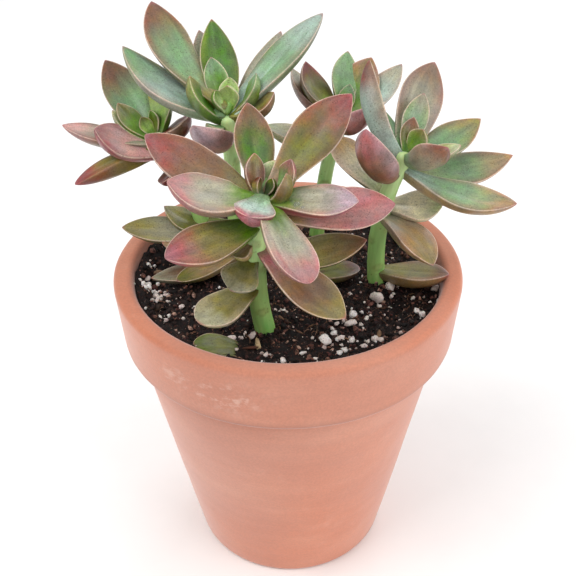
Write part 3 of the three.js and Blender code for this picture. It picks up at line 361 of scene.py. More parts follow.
def ring_faces(n, m, first, last, flip=False):
    """Faces of n rings of m points, closed by the points `first` and `last`."""
    f = []
    for i in range(n - 1):
        for j in range(m):
            a, b = i * m + j, i * m + (j + 1) % m
            f.append((a, a + m, b + m, b))
    e = (n - 1) * m
    for j in range(m):
        f.append((j, (j + 1) % m, first))
        f.append((e + (j + 1) % m, e + j, last))
    return [tuple(reversed(q)) for q in f] if flip else f


# ------------------------------------------------------------------ materials
class Nodes:
    def __init__(self, name):
        self.m = bpy.data.materials.new(name)
        self.m.use_nodes = True
        self.t = self.m.node_tree
        self.bsdf = next(n for n in self.t.nodes if n.type == "BSDF_PRINCIPLED")
        self.xyz = self.t.nodes.new("ShaderNodeTexCoord").outputs["Object"]

    def set(self, **values):
        for k, v in values.items():
            self.bsdf.inputs[k.replace("_", " ")].default_value = v

    def put(self, socket, value):
        if isinstance(value, bpy.types.NodeSocket):
            self.t.links.new(value, socket)
        else:
            socket.default_value = value

    def attr(self, name, out="Color"):
        n = self.t.nodes.new("ShaderNodeAttribute")
        n.attribute_name = name
        return n.outputs[out]

    def stretch(self, vector, scale):
        n = self.t.nodes.new("ShaderNodeVectorMath")
        n.operation = "MULTIPLY"
        self.put(n.inputs[0], vector)
        n.inputs[1].default_value = scale
        return n.outputs[0]

    def noise(self, scale, detail=3.0, rough=0.55, vector=None, distort=0.0):
        n = self.t.nodes.new("ShaderNodeTexNoise")
        self.put(n.inputs["Vector"], vector or self.xyz)
        n.inputs["Scale"].default_value = scale
        n.inputs["Detail"].default_value = detail
        n.inputs["Roughness"].default_value = rough
        n.inputs["Distortion"].default_value = distort
        return n.outputs["Fac"]

    def cells(self, scale, vector=None, feature="F1"):
        n = self.t.nodes.new("ShaderNodeTexVoronoi")
        n.feature = feature
        self.put(n.inputs["Vector"], vector or self.xyz)
        n.inputs["Scale"].default_value = scale
        return n.outputs["Distance"]

    def span(self, value, a, b, lo=0.0, hi=1.0):
        n = self.t.nodes.new("ShaderNodeMapRange")
        n.interpolation_type = "SMOOTHSTEP"
        self.put(n.inputs["Value"], value)
        for k, v in zip(("From Min", "From Max", "To Min", "To Max"), (a, b, lo, hi)):
            n.inputs[k].default_value = v
        return n.outputs["Result"]

    def math(self, op, a, b=0.0):
        n = self.t.nodes.new("ShaderNodeMath")
        n.operation = op
        self.put(n.inputs[0], a)
        self.put(n.inputs[1], b)
        return n.outputs[0]

    def blend(self, a, b, fac, mode="MIX"):
        n = self.t.nodes.new("ShaderNodeMix")
        n.data_type = "RGBA"
        n.blend_type = mode
        self.put(n.inputs["Factor"], fac)
        for s, v in zip([q for q in n.inputs if q.type == "RGBA"], (a, b)):
            self.put(s, (*v, 1.0) if isinstance(v, (tuple, np.ndarray)) and len(v) == 3 else v)
        return next(q for q in n.outputs if q.type == "RGBA")

    def shift(self, color, hue=0.5, sat=1.0, val=1.0):
        n = self.t.nodes.new("ShaderNodeHueSaturation")
        for k, v in (("Color", color), ("Hue", hue), ("Saturation", sat), ("Value", val)):
            self.put(n.inputs[k], v)
        return n.outputs["Color"]

    def ramp(self, fac, *stops):
        n = self.t.nodes.new("ShaderNodeValToRGB")
        r = n.color_ramp
        while len(r.elements) < len(stops):
            r.elements.new(0.5)
        for e, (p, c) in zip(r.elements, stops):
            e.position = p
            e.color = (*c, 1)
        self.put(n.inputs["Fac"], fac)
        return n.outputs["Color"]

    def bump(self, height, strength, distance, normal=None):
        n = self.t.nodes.new("ShaderNodeBump")
        n.inputs["Strength"].default_value = strength
        n.inputs["Distance"].default_value = distance
        self.put(n.inputs["Height"], height)
        if normal is not None:
            self.put(n.inputs["Normal"], normal)
        return n.outputs["Normal"]

    def finish(self, color, rough, normal=None):
        self.put(self.bsdf.inputs["Base Color"], color)
        self.put(self.bsdf.inputs["Roughness"], rough)
        if normal is not None:
            self.put(self.bsdf.inputs["Normal"], normal)
        return self.m


def leaf_material():
    n = Nodes("leaf_skin")
    tint = n.attr("tint")
    grain = n.attr("grain", "Vector")
    mottle = n.noise(240, 4)
    patch = n.noise(95, 3)
    streak = n.noise(1.0, 4, 0.6, n.stretch(grain, (0.10, 1.25, 1.0)))
    col = n.shift(tint, n.span(patch, 0.3, 0.7, 0.488, 0.512), n.span(mottle, 0.3, 0.7, 0.86, 1.14), n.span(mottle, 0.28, 0.72, 0.87, 1.11))
    col = n.shift(col, 0.5, 1.0, n.span(streak, 0.3, 0.7, 0.92, 1.07))
    # pores: fine dark specks, crowded in some places and absent in others
    pore = n.math("MULTIPLY", n.span(n.cells(1250), 0.14, 0.30, 1.0, 0.0), n.span(n.noise(330, 2), 0.36, 0.58))
    col = n.blend(col, (0.42, 0.33, 0.28), n.math("MULTIPLY", pore, 0.7), "MULTIPLY")
    fine = n.span(n.noise(2100, 2, 0.7), 0.35, 0.65, 0.86, 1.12)
    col = n.shift(col, 0.5, 1.0, fine)
    # powdery bloom
    bloom = n.span(n.noise(150, 5, 0.65), 0.48, 0.72)
    col = n.blend(col, (0.52, 0.56, 0.53), n.math("MULTIPLY", bloom, 0.05))
    rough = n.math("ADD", n.span(mottle, 0.3, 0.7, 0.34, 0.46), n.math("MULTIPLY", bloom, 0.14))
    height = n.math("ADD", n.math("MULTIPLY", n.noise(1500, 3), 0.5), n.math("ADD", n.math("MULTIPLY", streak, 0.5), n.math("MULTIPLY", pore, -0.5)))
    n.set(IOR=1.42, Specular_IOR_Level=0.45, Coat_Weight=0.22, Coat_Roughness=0.18, Subsurface_Weight=0.08, Subsurface_Scale=0.002)
    return n.finish(col, rough, n.bump(height, 0.35, 0.00016))


def stem_material():
    n = Nodes("stem_skin")
    grain = n.attr("grain", "Vector")
    streak = n.noise(1.0, 4, 0.6, n.stretch(grain, (0.12, 1.1, 1.0)))
    col = n.shift(n.attr("tint"), n.span(n.noise(140, 3), 0.3, 0.7, 0.485, 0.512), 1.0, n.span(streak, 0.3, 0.7, 0.93, 1.06))
    spot = n.math("MULTIPLY", n.span(n.cells(800), 0.14, 0.28, 1.0, 0.0), n.span(n.noise(300, 2), 0.5, 0.62))
    col = n.blend(col, (0.5, 0.42, 0.3), n.math("MULTIPLY", spot, 0.6), "MULTIPLY")
    height = n.math("ADD", n.math("MULTIPLY", streak, 0.35), n.math("MULTIPLY", n.noise(1500, 3), 0.4))
    n.set(IOR=1.42, Coat_Weight=0.1, Coat_Roughness=0.3, Subsurface_Weight=0.1, Subsurface_Scale=0.002)
    return n.finish(col, n.span(n.noise(300, 3), 0.3, 0.7, 0.38, 0.52), n.bump(height, 0.4, 0.0002))


def clay_material():
    n = Nodes("terracotta")
    sand = n.noise(1400, 4, 0.6)
    cloud = n.noise(26, 5, 0.55, n.stretch(n.xyz, (1.0, 1.0, 1.6)))
    drift = n.noise(9, 3)
    rings = n.noise(1.0, 3, 0.6, n.stretch(n.xyz, (14.0, 14.0, 420.0)))
    col = n.ramp(cloud, (0.30, tuple(linear("c07659"))), (0.52, tuple(linear("c67d60"))), (0.74, tuple(linear("ce8a6e"))))
    col = n.shift(col, 0.5, n.span(drift, 0.35, 0.65, 0.93, 1.07), n.span(drift, 0.35, 0.65, 0.97, 1.04))
    col = n.shift(col, 0.5, 1.0, n.span(rings, 0.3, 0.7, 0.975, 1.02))
    col = n.shift(col, 0.5, 1.0, n.span(sand, 0.3, 0.7, 0.93, 1.06))
    # dried salts: a faint veil in patches, and one smudge on the band
    veil = n.math("MULTIPLY", n.span(n.noise(34, 6, 0.7), 0.56, 0.76), n.span(n.noise(260, 4), 0.35, 0.6, 0.35, 1.0))
    col = n.blend(col, tuple(linear("ecc9b8")), n.math("MULTIPLY", veil, 0.14))
    # the tint attribute darkens the clay: damp stain by the soil, and painted shade in the pot's hollow, under the band
    # and on the band's lower corner
    stain_and_shade = n.attr("tint")
    col = n.blend(col, stain_and_shade, 1.0, "MULTIPLY")
    smudge = n.math("MULTIPLY", n.attr("grain", "Fac"), n.span(n.noise(170, 6, 0.75, n.stretch(n.xyz, (1.0, 1.0, 1.7))), 0.47, 0.62))
    col = n.blend(col, tuple(linear("f0dccf")), n.math("MULTIPLY", smudge, 0.36))
    pits = n.math("MULTIPLY", n.span(n.cells(520), 0.08, 0.18, 1.0, 0.0), n.span(n.noise(120, 2), 0.60, 0.68))
    col = n.blend(col, tuple(linear("a56a52")), n.math("MULTIPLY", pits, 0.25))
    height = n.math("ADD", n.math("MULTIPLY", sand, 0.6), n.math("ADD", n.math("MULTIPLY", rings, 0.2), n.math("MULTIPLY", pits, -0.9)))
    n.set(IOR=1.45, Specular_IOR_Level=0.22, Sheen_Weight=0.7, Sheen_Roughness=0.5, Sheen_Tint=(1.0, 0.86, 0.84, 1.0))
    return n.finish(col, n.span(sand, 0.3, 0.7, 0.84, 0.95), n.bump(height, 0.3, 0.00018))


def peat_material():
    n = Nodes("peat")
    grit = n.noise(900, 5, 0.75)
    col = n.ramp(grit, (0.40, tuple(linear("080404"))), (0.52, tuple(linear("170c0b"))), (0.62, tuple(linear("3b211b"))), (0.74, tuple(linear("80594c"))))
    warm = n.noise(180, 3)
    col = n.shift(col, n.span(warm, 0.3, 0.7, 0.485, 0.51), 0.95, n.span(warm, 0.3, 0.7, 0.75, 1.25))
    fleck = n.span(n.cells(1000), 0.10, 0.17, 1.0, 0.0)
    col = n.blend(col, tuple(linear("a08a80")), n.math("MULTIPLY", fleck, n.span(n.noise(240, 2), 0.45, 0.6, 0.1, 0.9)))
    n.set(IOR=1.4, Specular_IOR_Level=0.45)
    return n.finish(col, n.span(grit, 0.3, 0.7, 0.62, 0.92), n.bump(n.math("ADD", grit, n.math("MULTIPLY", n.noise(2400, 3), 0.5)), 0.9, 0.0005))


def crumb_material():
    n = Nodes("peat_crumbs")
    grit = n.noise(1100, 4, 0.7)
    col = n.shift(n.attr("tint"), n.span(n.noise(300, 2), 0.3, 0.7, 0.485, 0.51), 1.0, n.span(grit, 0.36, 0.66, 0.25, 1.9))
    n.set(IOR=1.4, Specular_IOR_Level=0.5)
    return n.finish(col, n.span(grit, 0.3, 0.7, 0.6, 0.9), n.bump(grit, 0.8, 0.0004))


def perlite_material():
    n = Nodes("perlite")
    pore = n.noise(1500, 4, 0.65)
    col = n.ramp(pore, (0.28, tuple(linear("7d6b66"))), (0.42, tuple(linear("ebe3df"))), (0.7, tuple(linear("fbf7f3"))))
    col = n.blend(col, n.attr("tint"), 1.0, "MULTIPLY")
    pit = n.span(n.cells(1500), 0.10, 0.26, 1.0, 0.0)
    col = n.blend(col, tuple(linear("6a5750")), n.math("MULTIPLY", pit, 0.55))
    n.set(IOR=1.45, Subsurface_Weight=0.05, Subsurface_Scale=0.001)
    return n.finish(col, n.span(pore, 0.3, 0.7, 0.55, 0.85), n.bump(n.math("ADD", pore, n.math("MULTIPLY", pit, -0.8)), 0.7, 0.0003))


def wood_material():
    n = Nodes("bark")
    fibre = n.noise(1.0, 5, 0.65, n.stretch(n.xyz, (500.0, 500.0, 2400.0)))
    col = n.shift(n.attr("tint"), n.span(n.noise(400, 2), 0.3, 0.7, 0.49, 0.51), 1.0, n.span(fibre, 0.3, 0.7, 0.6, 1.25))
    n.set(IOR=1.4)
    return n.finish(col, n.span(fibre, 0.3, 0.7, 0.6, 0.85), n.bump(fibre, 0.8, 0.0003))


def water_material():
    n = Nodes("water")
    n.set(IOR=1.33, Transmission_Weight=0.92, Specular_IOR_Level=0.5)
    film = n.noise(900, 2)
    return n.finish(n.ramp(film, (0.3, (0.93, 0.96, 0.96)), (0.7, (1.0, 1.0, 1.0))), n.span(film, 0.3, 0.7, 0.02, 0.05))


def floor_material():
    n = Nodes("paper")
    fine = n.noise(60, 3)
    n.set(Specular_IOR_Level=0.1)
    return n.finish(n.ramp(fine, (0.3, (0.915, 0.915, 0.915)), (0.7, (0.93, 0.93, 0.93))), n.span(fine, 0.3, 0.7, 0.85, 0.9))


LEAF, STEM, CLAY, PEAT, CRUMB, PERLITE, BARK, WATER, PAPER = (f() for f in (
    leaf_material, stem_material, clay_material, peat_material, crumb_material, perlite_material, wood_material, water_material, floor_material))


# ------------------------------------------------------------------ leaves
UPPER, CUP = 0.16, 0.12


def leaf_frame(row, t):
    root, mid, tip, face = (np.array(v, float) for v in row[2:6])
    t = np.asarray(t, float)[:, None]
    at = root * (1 - t) ** 2 + 2 * mid * t * (1 - t) + tip * t * t
    along = 2 * (1 - t) * (mid - root) + 2 * t * (tip - mid)
    along /= np.linalg.norm(along, axis=1)[:, None]
    side = np.cross(along, face)
    side /= np.linalg.norm(side, axis=1)[:, None]
    return at, along, side, np.cross(side, along)


def width_at(t, full, neck, ease, blunt):
    x = np.clip(t / full, 0, 1)
    y = np.clip((t - full) / (1 - full), 0, 1)
    rise = neck + (1 - neck) * ((1 - ease) * np.sin(np.pi / 2 * x) + ease * x * x * (3 - 2 * x))
    return np.where(t < full, rise, np.clip(1 - y * y, 0, 1) ** blunt)


def thick_at(t):
    m = 0.38
    return np.where(t < m, 0.7 + 0.3 * np.sin(np.pi / 2 * t / m), np.clip(1 - (np.clip(t - m, 0, 1) / (1 - m)) ** 2.3, 0, 1) ** 0.75)


def leaf_surface(row, t, angle, seed):
    """Points of the leaf's skin at stations t (n) and section angles (m): n x m x 3."""
    width, thick, full, neck, ease, blunt = row[6:12]
    at, along, side, up = leaf_frame(row, t)
    f = (width_at(t, full, neck, ease, blunt) * width / 2)[:, None]
    g = (thick_at(t) * thick)[:, None]
    c, s = np.cos(angle)[None, :], np.sin(angle)[None, :]
    T = t[:, None]
    body = np.clip(np.sin(np.pi * np.clip(T * 0.9 + 0.08, 0, 1)), 0, 1) ** 0.5
    z = np.where(s > 0, UPPER * g * np.abs(s) ** 1.2, -g * np.abs(s) ** 1.22) + CUP * f * c * c * body
    # a shallow channel down the upper face, a soft keel below
    z = z - np.where(s > 0, 0.085, 0.0) * g * np.exp(-((c / 0.26) ** 2)) * body
    z = z - np.where(s < 0, 0.06, 0.0) * g * np.exp(-((c / 0.24) ** 2)) * body
    # the rim is a fine raised bead
    bead = np.exp(-((s / 0.17) ** 2))
    x = f * c + np.sign(c) * 0.10 * bead * body
    z = z + 0.07 * bead * body * np.where(s > 0, 1, 0.3)
    # slight swelling and waviness, so no two leaves are alike
    lump = fractal(T * 3.1 + seed * 3.7, c * 1.7 + seed, s * 1.3 + 2.0, 2) - 0.5
    z = z + lump * 0.55 * body * np.clip(f / 5, 0, 1) * np.where(s > 0, 0.8, 1.0)
    x = x * (1 + 0.035 * (vnoise(T * 4.0 + seed, np.sign(c) * 3.0 + seed * 1.9, 0.0) - 0.5))
    return at[:, None, :] + x[..., None] * side[:, None, :] + z[..., None] * up[:, None, :], along, up, f, g


def leaf_tint(row, look, t, angle, seed, half, split_side=-1.0):
    neck, middle, tip, edge, edge_k, extra = look
    c, s = np.cos(angle)[None, :], np.sin(angle)[None, :]
    T = t[:, None] + 0 * c
    C = c + 0 * T
    S = s + 0 * T
    n1 = fractal(T * 4 + seed, C * 1.6 + seed * 2, S * 0.8, 3) - 0.5
    n2 = fractal(T * 9 - seed, C * 4 + seed, S * 2.0, 3) - 0.5
    streak = fractal(T * 2.2 + seed, C * 6.0 - seed, 0.5, 2) - 0.5
    tt = T + 0.34 * n1 + 0.10 * n2
    col = mix(np.broadcast_to(TONES[neck], T.shape + (3,)), TONES[middle], smooth(0.08, 0.46, tt))
    col = mix(col, TONES[tip], smooth(0.52, 0.93, tt))
    col = mix(col, TONES[edge], 1.15 * edge_k * smooth(0.45, 1.0, np.abs(C)) * smooth(0.04, 0.4, T) * (0.75 + 0.9 * n2))
    # bluish bloom lies thickest down the middle of the upper face
    col = mix(col, TONES["frost"], np.clip((0.34 if "frost" in extra else 0.03) * np.exp(-((C / 0.42) ** 2)) * (S > 0) * smooth(0.08, 0.3, T) * smooth(0.97, 0.65, T) * (0.7 + 3.2 * streak), 0, 0.6))
    below = smooth(-0.02, -0.20, S)
    if "plain_below" in extra:
        pass
    elif "pale_below" in extra:
        col = mix(col, TONES["stone"], 0.65 * below)
    elif "red_below" in extra:
        col = mix(col, TONES["brick"], 0.6 * below * smooth(0.15, 0.5, T))
    elif "tan_below" in extra:
        col = mix(col, TONES["tan"], 0.8 * below * smooth(1.0, 0.8, T))
    elif "rose_below" in extra:
        col = mix(col, TONES["rose"], 0.8 * below)
        # a dark wine line just below the rim is painted shade in the crease between upper and lower faces
        col = mix(col, TONES["wine"], 0.7 * np.exp(-(((S + 0.30) / 0.16) ** 2)))
    elif "olive_below" in extra:
        col = mix(col, TONES["olive"], 0.7 * below)
    else:
        col = mix(col, TONES["umber"], 0.20 * below * np.clip(-S, 0, 1))
    if "stripes" in extra:
        run = np.abs(C) * 9 + 0.8 * n2 + T * 1.3
        line = np.clip(np.cos(run * 2.6) * 1.6 - 0.5, 0, 1) * smooth(0.42, 0.6, np.abs(C)) * smooth(1.0, 0.9, np.abs(C)) * smooth(0.45, 0.75, T) * (S > -0.2) * (C > 0)
        col = mix(col, TONES["stripe"], 0.55 * line)
    col = mix(col, TONES["moss"], 0.35 * (1 - smooth(0.0, 0.10, T)))
    if "split" in extra:
        col = mix(col, TONES["frost"], 0.8 * smooth(-0.12, 0.12, C * split_side + 0.25 * n1))
        col = mix(col, TONES["brick"], 0.7 * smooth(0.05, -0.15, C * split_side) * smooth(0.35, 0.8, T))
        col = mix(col, TONES["brown"], 0.7 * np.exp(-(((C * split_side - 0.86) / 0.10) ** 2)))
    # cloudy, streaky depth of tone
    col = col * np.clip(1 + 0.50 * streak + 0.40 * n1 + 0.42 * n2, 0.62, 1.3)[..., None]
    inset = half[:, None] * (1 - np.abs(C))
    rim = np.where(S >= 0, smooth(0.27, 0.05, inset), smooth(-0.17, -0.04, S)) * smooth(0.05, 0.2, T)
    col = mix(col, TONES["rim"], np.clip((0.08 if "no_rim" in extra else 0.34 if "dull_rim" in extra else 0.62) * rim * (0.95 + 0.8 * n2), 0, 1))
    col = mix(col, TONES["rose"], 0.65 * smooth(0.955, 1.0, T))
    return col


def make_leaf(row, index):
    name, node = row[0], row[1]
    if name == "D7":
        # club-shaped: narrower than the others
        row = row[:6] + (row[6] * 0.80, row[7] * 0.92) + row[8:]
    big = row[6] > 7.5
    nt, ns = (40, 40) if big else (24, 28)
    u = np.arange(nt) / nt
    t = 1 - (1 - u) ** 1.45
    angle = 2 * np.pi * np.arange(ns) / ns
    seed = 1.37 * index + 0.61
    pts, along, up, f, g = leaf_surface(row, t, angle, seed)
    look = LOOKS[name]
    if name == "A7":
        # its foot tucks in under the leaf above
        for i in range(7):
            c = pts[i].mean(axis=0)
            pts[i] = c + (pts[i] - c) * (0.4 + 0.6 * i / 7)
    # which flank lies towards +X
    flank = np.sign((pts[nt // 2][0] - pts[nt // 2][ns // 2])[0])
    tint = leaf_tint(row, look, t, angle, seed, f[:, 0], flank)
    width = row[6]
    length = np.linalg.norm(np.array(row[4], float) - np.array(row[2], float))
    # neck: two smaller rings run back into the stem
    centre = pts[0].mean(axis=0)
    back = 0.15 if name in ("A7", "A10", "A12") else 1.0
    neck1 = centre + (pts[0] - centre) * 0.86 - along[0] * 0.8 * back
    neck2 = centre + (pts[0] - centre) * 0.6 - along[0] * 1.5 * back
    rings = np.concatenate([neck2[None], neck1[None], pts])
    tints = np.concatenate([tint[:1], tint[:1], tint])
    cross = (np.cos(angle)[None, :] * f * (1 + 0.15 * np.abs(np.sin(angle))[None, :]))
    cross = np.concatenate([cross[:1], cross[:1], cross])
    run = np.concatenate([[-1.5, -0.8], t * length])[:, None] + 0 * cross
    grain = np.stack([run, cross, np.full_like(cross, index * 3.71)], axis=-1)
    n = len(rings)
    tip = np.array(row[4], float)
    verts = np.vstack([rings.reshape(-1, 3), centre - along[0] * 2.0 * back, tip])
    tints = np.vstack([tints.reshape(-1, 3), tint[0].mean(0), TONES["rose"] * 0.8])
    grain = np.vstack([grain.reshape(-1, 3), [-2.0, 0, index * 3.71], [length, 0, index * 3.71]])
    faces = ring_faces(n, ns, n * ns, n * ns + 1)
    stem_piece = node.startswith("shoot")
    label = ("bud_" if stem_piece else "") + (node if not stem_piece else name.lower()) + "_skin"
    ob = add_mesh(label, verts, faces, LEAF, tints, grain)
    return place(ob, "leaf", *([] if stem_piece else [node]))


for i, row in enumerate(LEAVES):
    make_leaf(row, i)


# ------------------------------------------------------------------ shoots
def spline(points, u):
    p = np.array(points, float)
    x = u * (len(p) - 1)
    i = min(int(x), len(p) - 2)
    f = x - i
    a, b = p[i], p[i + 1]
    before = p[i - 1] if i > 0 else 2 * a - b
    after = p[i + 2] if i + 2 < len(p) else 2 * b - a
    return 0.5 * ((2 * a) + (b - before) * f + (2 * before - 5 * a + 4 * b - after) * f * f + (-before + 3 * a - 3 * b + after) * f ** 3)


def make_stem(key, shoot, index):
    path, r0, r1, top = shoot
    start = np.array(path[0], float) - unit(np.array(path[1], float) - np.array(path[0], float)) * 10.5
    pts = [tuple(start)] + [tuple(p) for p in path]
    rings, sides = 96, 28
    us = np.linspace(0, 1, rings)
    centre = np.array([spline(pts, u * top) for u in us])
    d = np.gradient(centre, axis=0)
    d /= np.linalg.norm(d, axis=1)[:, None]
    ax = np.cross(d, [0, 1, 0])
    ax /= np.linalg.norm(ax, axis=1)[:, None]
    ay = np.cross(d, ax)
    run = np.concatenate([[0], np.cumsum(np.linalg.norm(np.diff(centre, axis=0), axis=1))])
    rnd = random.Random(100 + index)
    ang = 2 * np.pi * np.arange(sides) / sides
    rad = (r0 + (r1 - r0) * np.clip((us - 0.2) / 0.8, 0, 1))[:, None] * np.ones((1, sides))
    rad = rad * (1 + 0.10 * (fractal(run[:, None] * 0.16 + index * 7, np.cos(ang)[None] * 1.2, np.sin(ang)[None] * 1.2, 3) - 0.5))
    scar = np.zeros_like(rad)
    ring = np.zeros_like(rad)
    # scars of shed leaves climb the stem in a spiral
    a, z = rnd.random() * 6.28, 9.0
    while z < run[-1] - 6:
        da = (ang[None] - a + np.pi) % (2 * np.pi) - np.pi
        dz = run[:, None] - z
        q = (da / 0.62) ** 2 + (dz / 1.0) ** 2
        ring += np.exp(-((q - 1) / 0.5) ** 2)
        scar += np.exp(-q * 1.4)
        a += 2.4
        z += 3.4 + rnd.random() * 2.0
    rad = rad + 0.16 * np.clip(ring, 0, 1) - 0.10 * np.clip(scar, 0, 1)
    # flares a little where it enters the soil
    rad = rad * (1 + 0.16 * smooth(15, 8, run))[:, None]
    pts = centre[:, None] + rad[..., None] * (np.cos(ang)[None, :, None] * ax[:, None] + np.sin(ang)[None, :, None] * ay[:, None])
    cap = centre[-1] + d[-1] * r1 * 0.5
    pts = np.concatenate([pts, (centre[-1] + (pts[-1] - centre[-1]) * 0.8 + d[-1] * r1 * 0.28)[None]])
    height = (run / run[-1])[:, None] + 0 * rad
    noise2 = fractal(run[:, None] * 0.3, np.cos(ang)[None] * 2, np.sin(ang)[None] * 2 + index, 3) - 0.5
    col = mix(np.broadcast_to(TONES["stem_low"], height.shape + (3,)), TONES["stem"], smooth(0.12, 0.42, height + 0.25 * noise2))
    col = mix(col, TONES["stem_pale"], 0.55 * smooth(0.5, 1.0, height + 0.3 * noise2))
    col = mix(col, TONES["khaki"], 0.35 * smooth(0.30, 0.15, height + 0.1 * noise2))
    col = mix(col, TONES["tan"], 0.35 * np.clip(scar, 0, 1))
    col = mix(col, TONES["moss"], 0.35 * np.clip(ring, 0, 1))
    col = np.concatenate([col, col[-1:]])
    grain = np.stack([run[:, None] + 0 * rad, 3.0 * np.sin(ang)[None] + 0 * rad, 3.0 * np.cos(ang)[None] + index * 11 + 0 * rad], axis=-1)
    grain = np.concatenate([grain, grain[-1:]])
    n = rings + 1
    verts = np.vstack([pts.reshape(-1, 3), centre[0] - d[0] * 0.6, cap])
    tints = np.vstack([col.reshape(-1, 3), col[0, 0], col[-1].mean(0)])
    grain = np.vstack([grain.reshape(-1, 3), grain[0, 0], grain[-1].mean(0)])
    ob = add_mesh("shoot_%s_stem" % key, verts, ring_faces(n, sides, n * sides, n * sides + 1, STEM_FLIP), STEM, tints, grain)
    return place(ob, "stem", "shoot_%s" % key)


STEM_FLIP = False
for i, (key, shoot) in enumerate(SHOOTS.items()):
    make_stem(key, shoot, i)


# ------------------------------------------------------------------ pot
POT_H, RIM_R, NECK_R, FOOT_R, BAND_R = 107.0, 54.0, 48.9, 32.9, 52.5
BAND_Z = POT_H - 21.6
INNER_FOOT, INNER_RIM, FLOOR_T, DRAIN = 27.9, 48.2, 6.0, 6.2


def inner_radius(z):
    return INNER_FOOT + (z - FLOOR_T) * (INNER_RIM - INNER_FOOT) / (POT_H - 3 - FLOOR_T)


def rounded(points, radii, steps=6):
    """A profile with each corner turned by a small curve."""
    out = []
    n = len(points)
    for i in range(n):
        p, a, b = (np.array(points[k % n], float) for k in (i, i - 1, i + 1))
        la, lb = np.linalg.norm(a - p), np.linalg.norm(b - p)
        r = min(radii[i], la * 0.45, lb * 0.45)
        s, e = p + (a - p) / la * r, p + (b - p) / lb * r
        for k in range(steps + 1):
            w = k / steps
            out.append(s * (1 - w) ** 2 + 2 * p * w * (1 - w) + e * w * w)
    return out


def dense(points, gap):
    out = []
    n = len(points)
    for i in range(n):
        a, b = points[i], points[(i + 1) % n]
        k = max(1, int(np.ceil(np.linalg.norm(b - a) / gap)))
        out += [a + (b - a) * j / k for j in range(k)]
    return np.array(out)


def make_pot():
    corners = [(DRAIN, 0), (FOOT_R, 0), (NECK_R, BAND_Z), (BAND_R, BAND_Z), (RIM_R, POT_H), (INNER_RIM + 0.05, POT_H),
               (inner_radius(90), 90), (INNER_FOOT, FLOOR_T), (DRAIN, FLOOR_T)]
    profile = dense(rounded(corners, [1.0, 1.8, 1.1, 1.6, 2.0, 1.8, 2.0, 3.0, 1.0]), 1.6)
    seg = 220
    ang = 2 * np.pi * np.arange(seg) / seg
    R, Z = profile[:, 0][:, None], profile[:, 1][:, None]
    ca, sa = np.cos(ang)[None], np.sin(ang)[None]
    # thrown clay is never quite round: long, low ripples and a little grain
    out = (Z > BAND_Z - 1) & (R > 50)
    wob = (fractal(ca * 2.2 + 9, sa * 2.2 + 4, Z * 0.035, 3) - 0.5) * 0.42 + (fractal(ca * 9, sa * 9, Z * 0.12, 2) - 0.5) * 0.10
    wob = wob * smooth(0.5, 4.0, Z) * smooth(107.2, 105.5, Z) - 0.12
    wob = wob + 0.014 * np.sin(Z * 1.1 + 2.0 * fractal(ca * 1.5, sa * 1.5, 0.0, 2)) * (~out)
    Rr = np.where(R > DRAIN + 3, R + wob, R)
    Zz = Z + 0 * ca
    lip = smooth(104.5, 106.6, Z)
    Zz = Zz - 0.10 * lip * fractal(ca * 5, sa * 5, 1.0, 2)
    pts = np.stack([Rr * ca, Rr * sa, Zz + 0 * Rr], axis=-1)
    n = len(profile)
    faces = []
    for i in range(n):
        k = (i + 1) % n
        for j in range(seg):
            m = (j + 1) % seg
            faces.append((i * seg + j, i * seg + m, k * seg + m, k * seg + j))
    # tint: clay darkened inside by the soil and in the drain hole, partly a damp stain and partly painted shade in the
    # pot's hollow; painted shade under the band and on its lower corner; white elsewhere
    inside = (R < inner_radius(np.clip(Z, 6, 104)) + 1.6) & (Z > 3)
    edge = np.exp(-np.clip(Z - 100.5, 0, 20) / 4.0) + 0 * ca
    n1 = fractal(ca * 6, sa * 6, Z * 0.3, 3)
    # darkest at the soil line: damp stain plus painted shade in the hollow
    damp_and_shade = np.where(inside, np.clip(edge * (0.55 + 0.9 * n1), 0, 1), 0.0)
    white = np.ones(pts.shape)
    col = mix(white, np.array([0.62, 0.40, 0.27]), 0.95 * damp_and_shade)
    # painted shade on the body just below the overhanging band
    under = smooth(BAND_Z + 0.4, BAND_Z - 0.2, Z) * smooth(BAND_Z - 7, BAND_Z - 0.5, Z) * (R > 40)
    col = mix(col, np.array([0.86, 0.80, 0.77]), 0.45 * under * (0.5 + n1))
    # painted shade on the band's lower corner, darkening the light it catches from the floor
    band_corner_shade = (R > BAND_R - 2.2) * smooth(BAND_Z + 2.2, BAND_Z + 0.9, Z) * (Z > BAND_Z - 0.2)
    col = col * (1 - np.array([0.30, 0.38, 0.40]) * (band_corner_shade + 0 * ca)[..., None])
    # band smudge mask, kept in the grain attribute
    az = np.degrees(np.arctan2(sa, ca))
    off = np.exp(-(((az + 110) / 11.0) ** 2)) * np.exp(-(((Z - 96.0) / 5.0) ** 2)) + 0.55 * np.exp(-(((az + 128) / 8.0) ** 2)) * np.exp(-(((Z - 97.0) / 4.0) ** 2))
    off = off * (R > 50)
    mask = np.clip(off, 0, 1)
    grain = np.stack([mask, mask, mask], axis=-1)
    ob = add_mesh("pot_clay", pts.reshape(-1, 3), faces, CLAY, col.reshape(-1, 3), grain.reshape(-1, 3))
    return place(ob, "terracotta", "pot")


make_pot()


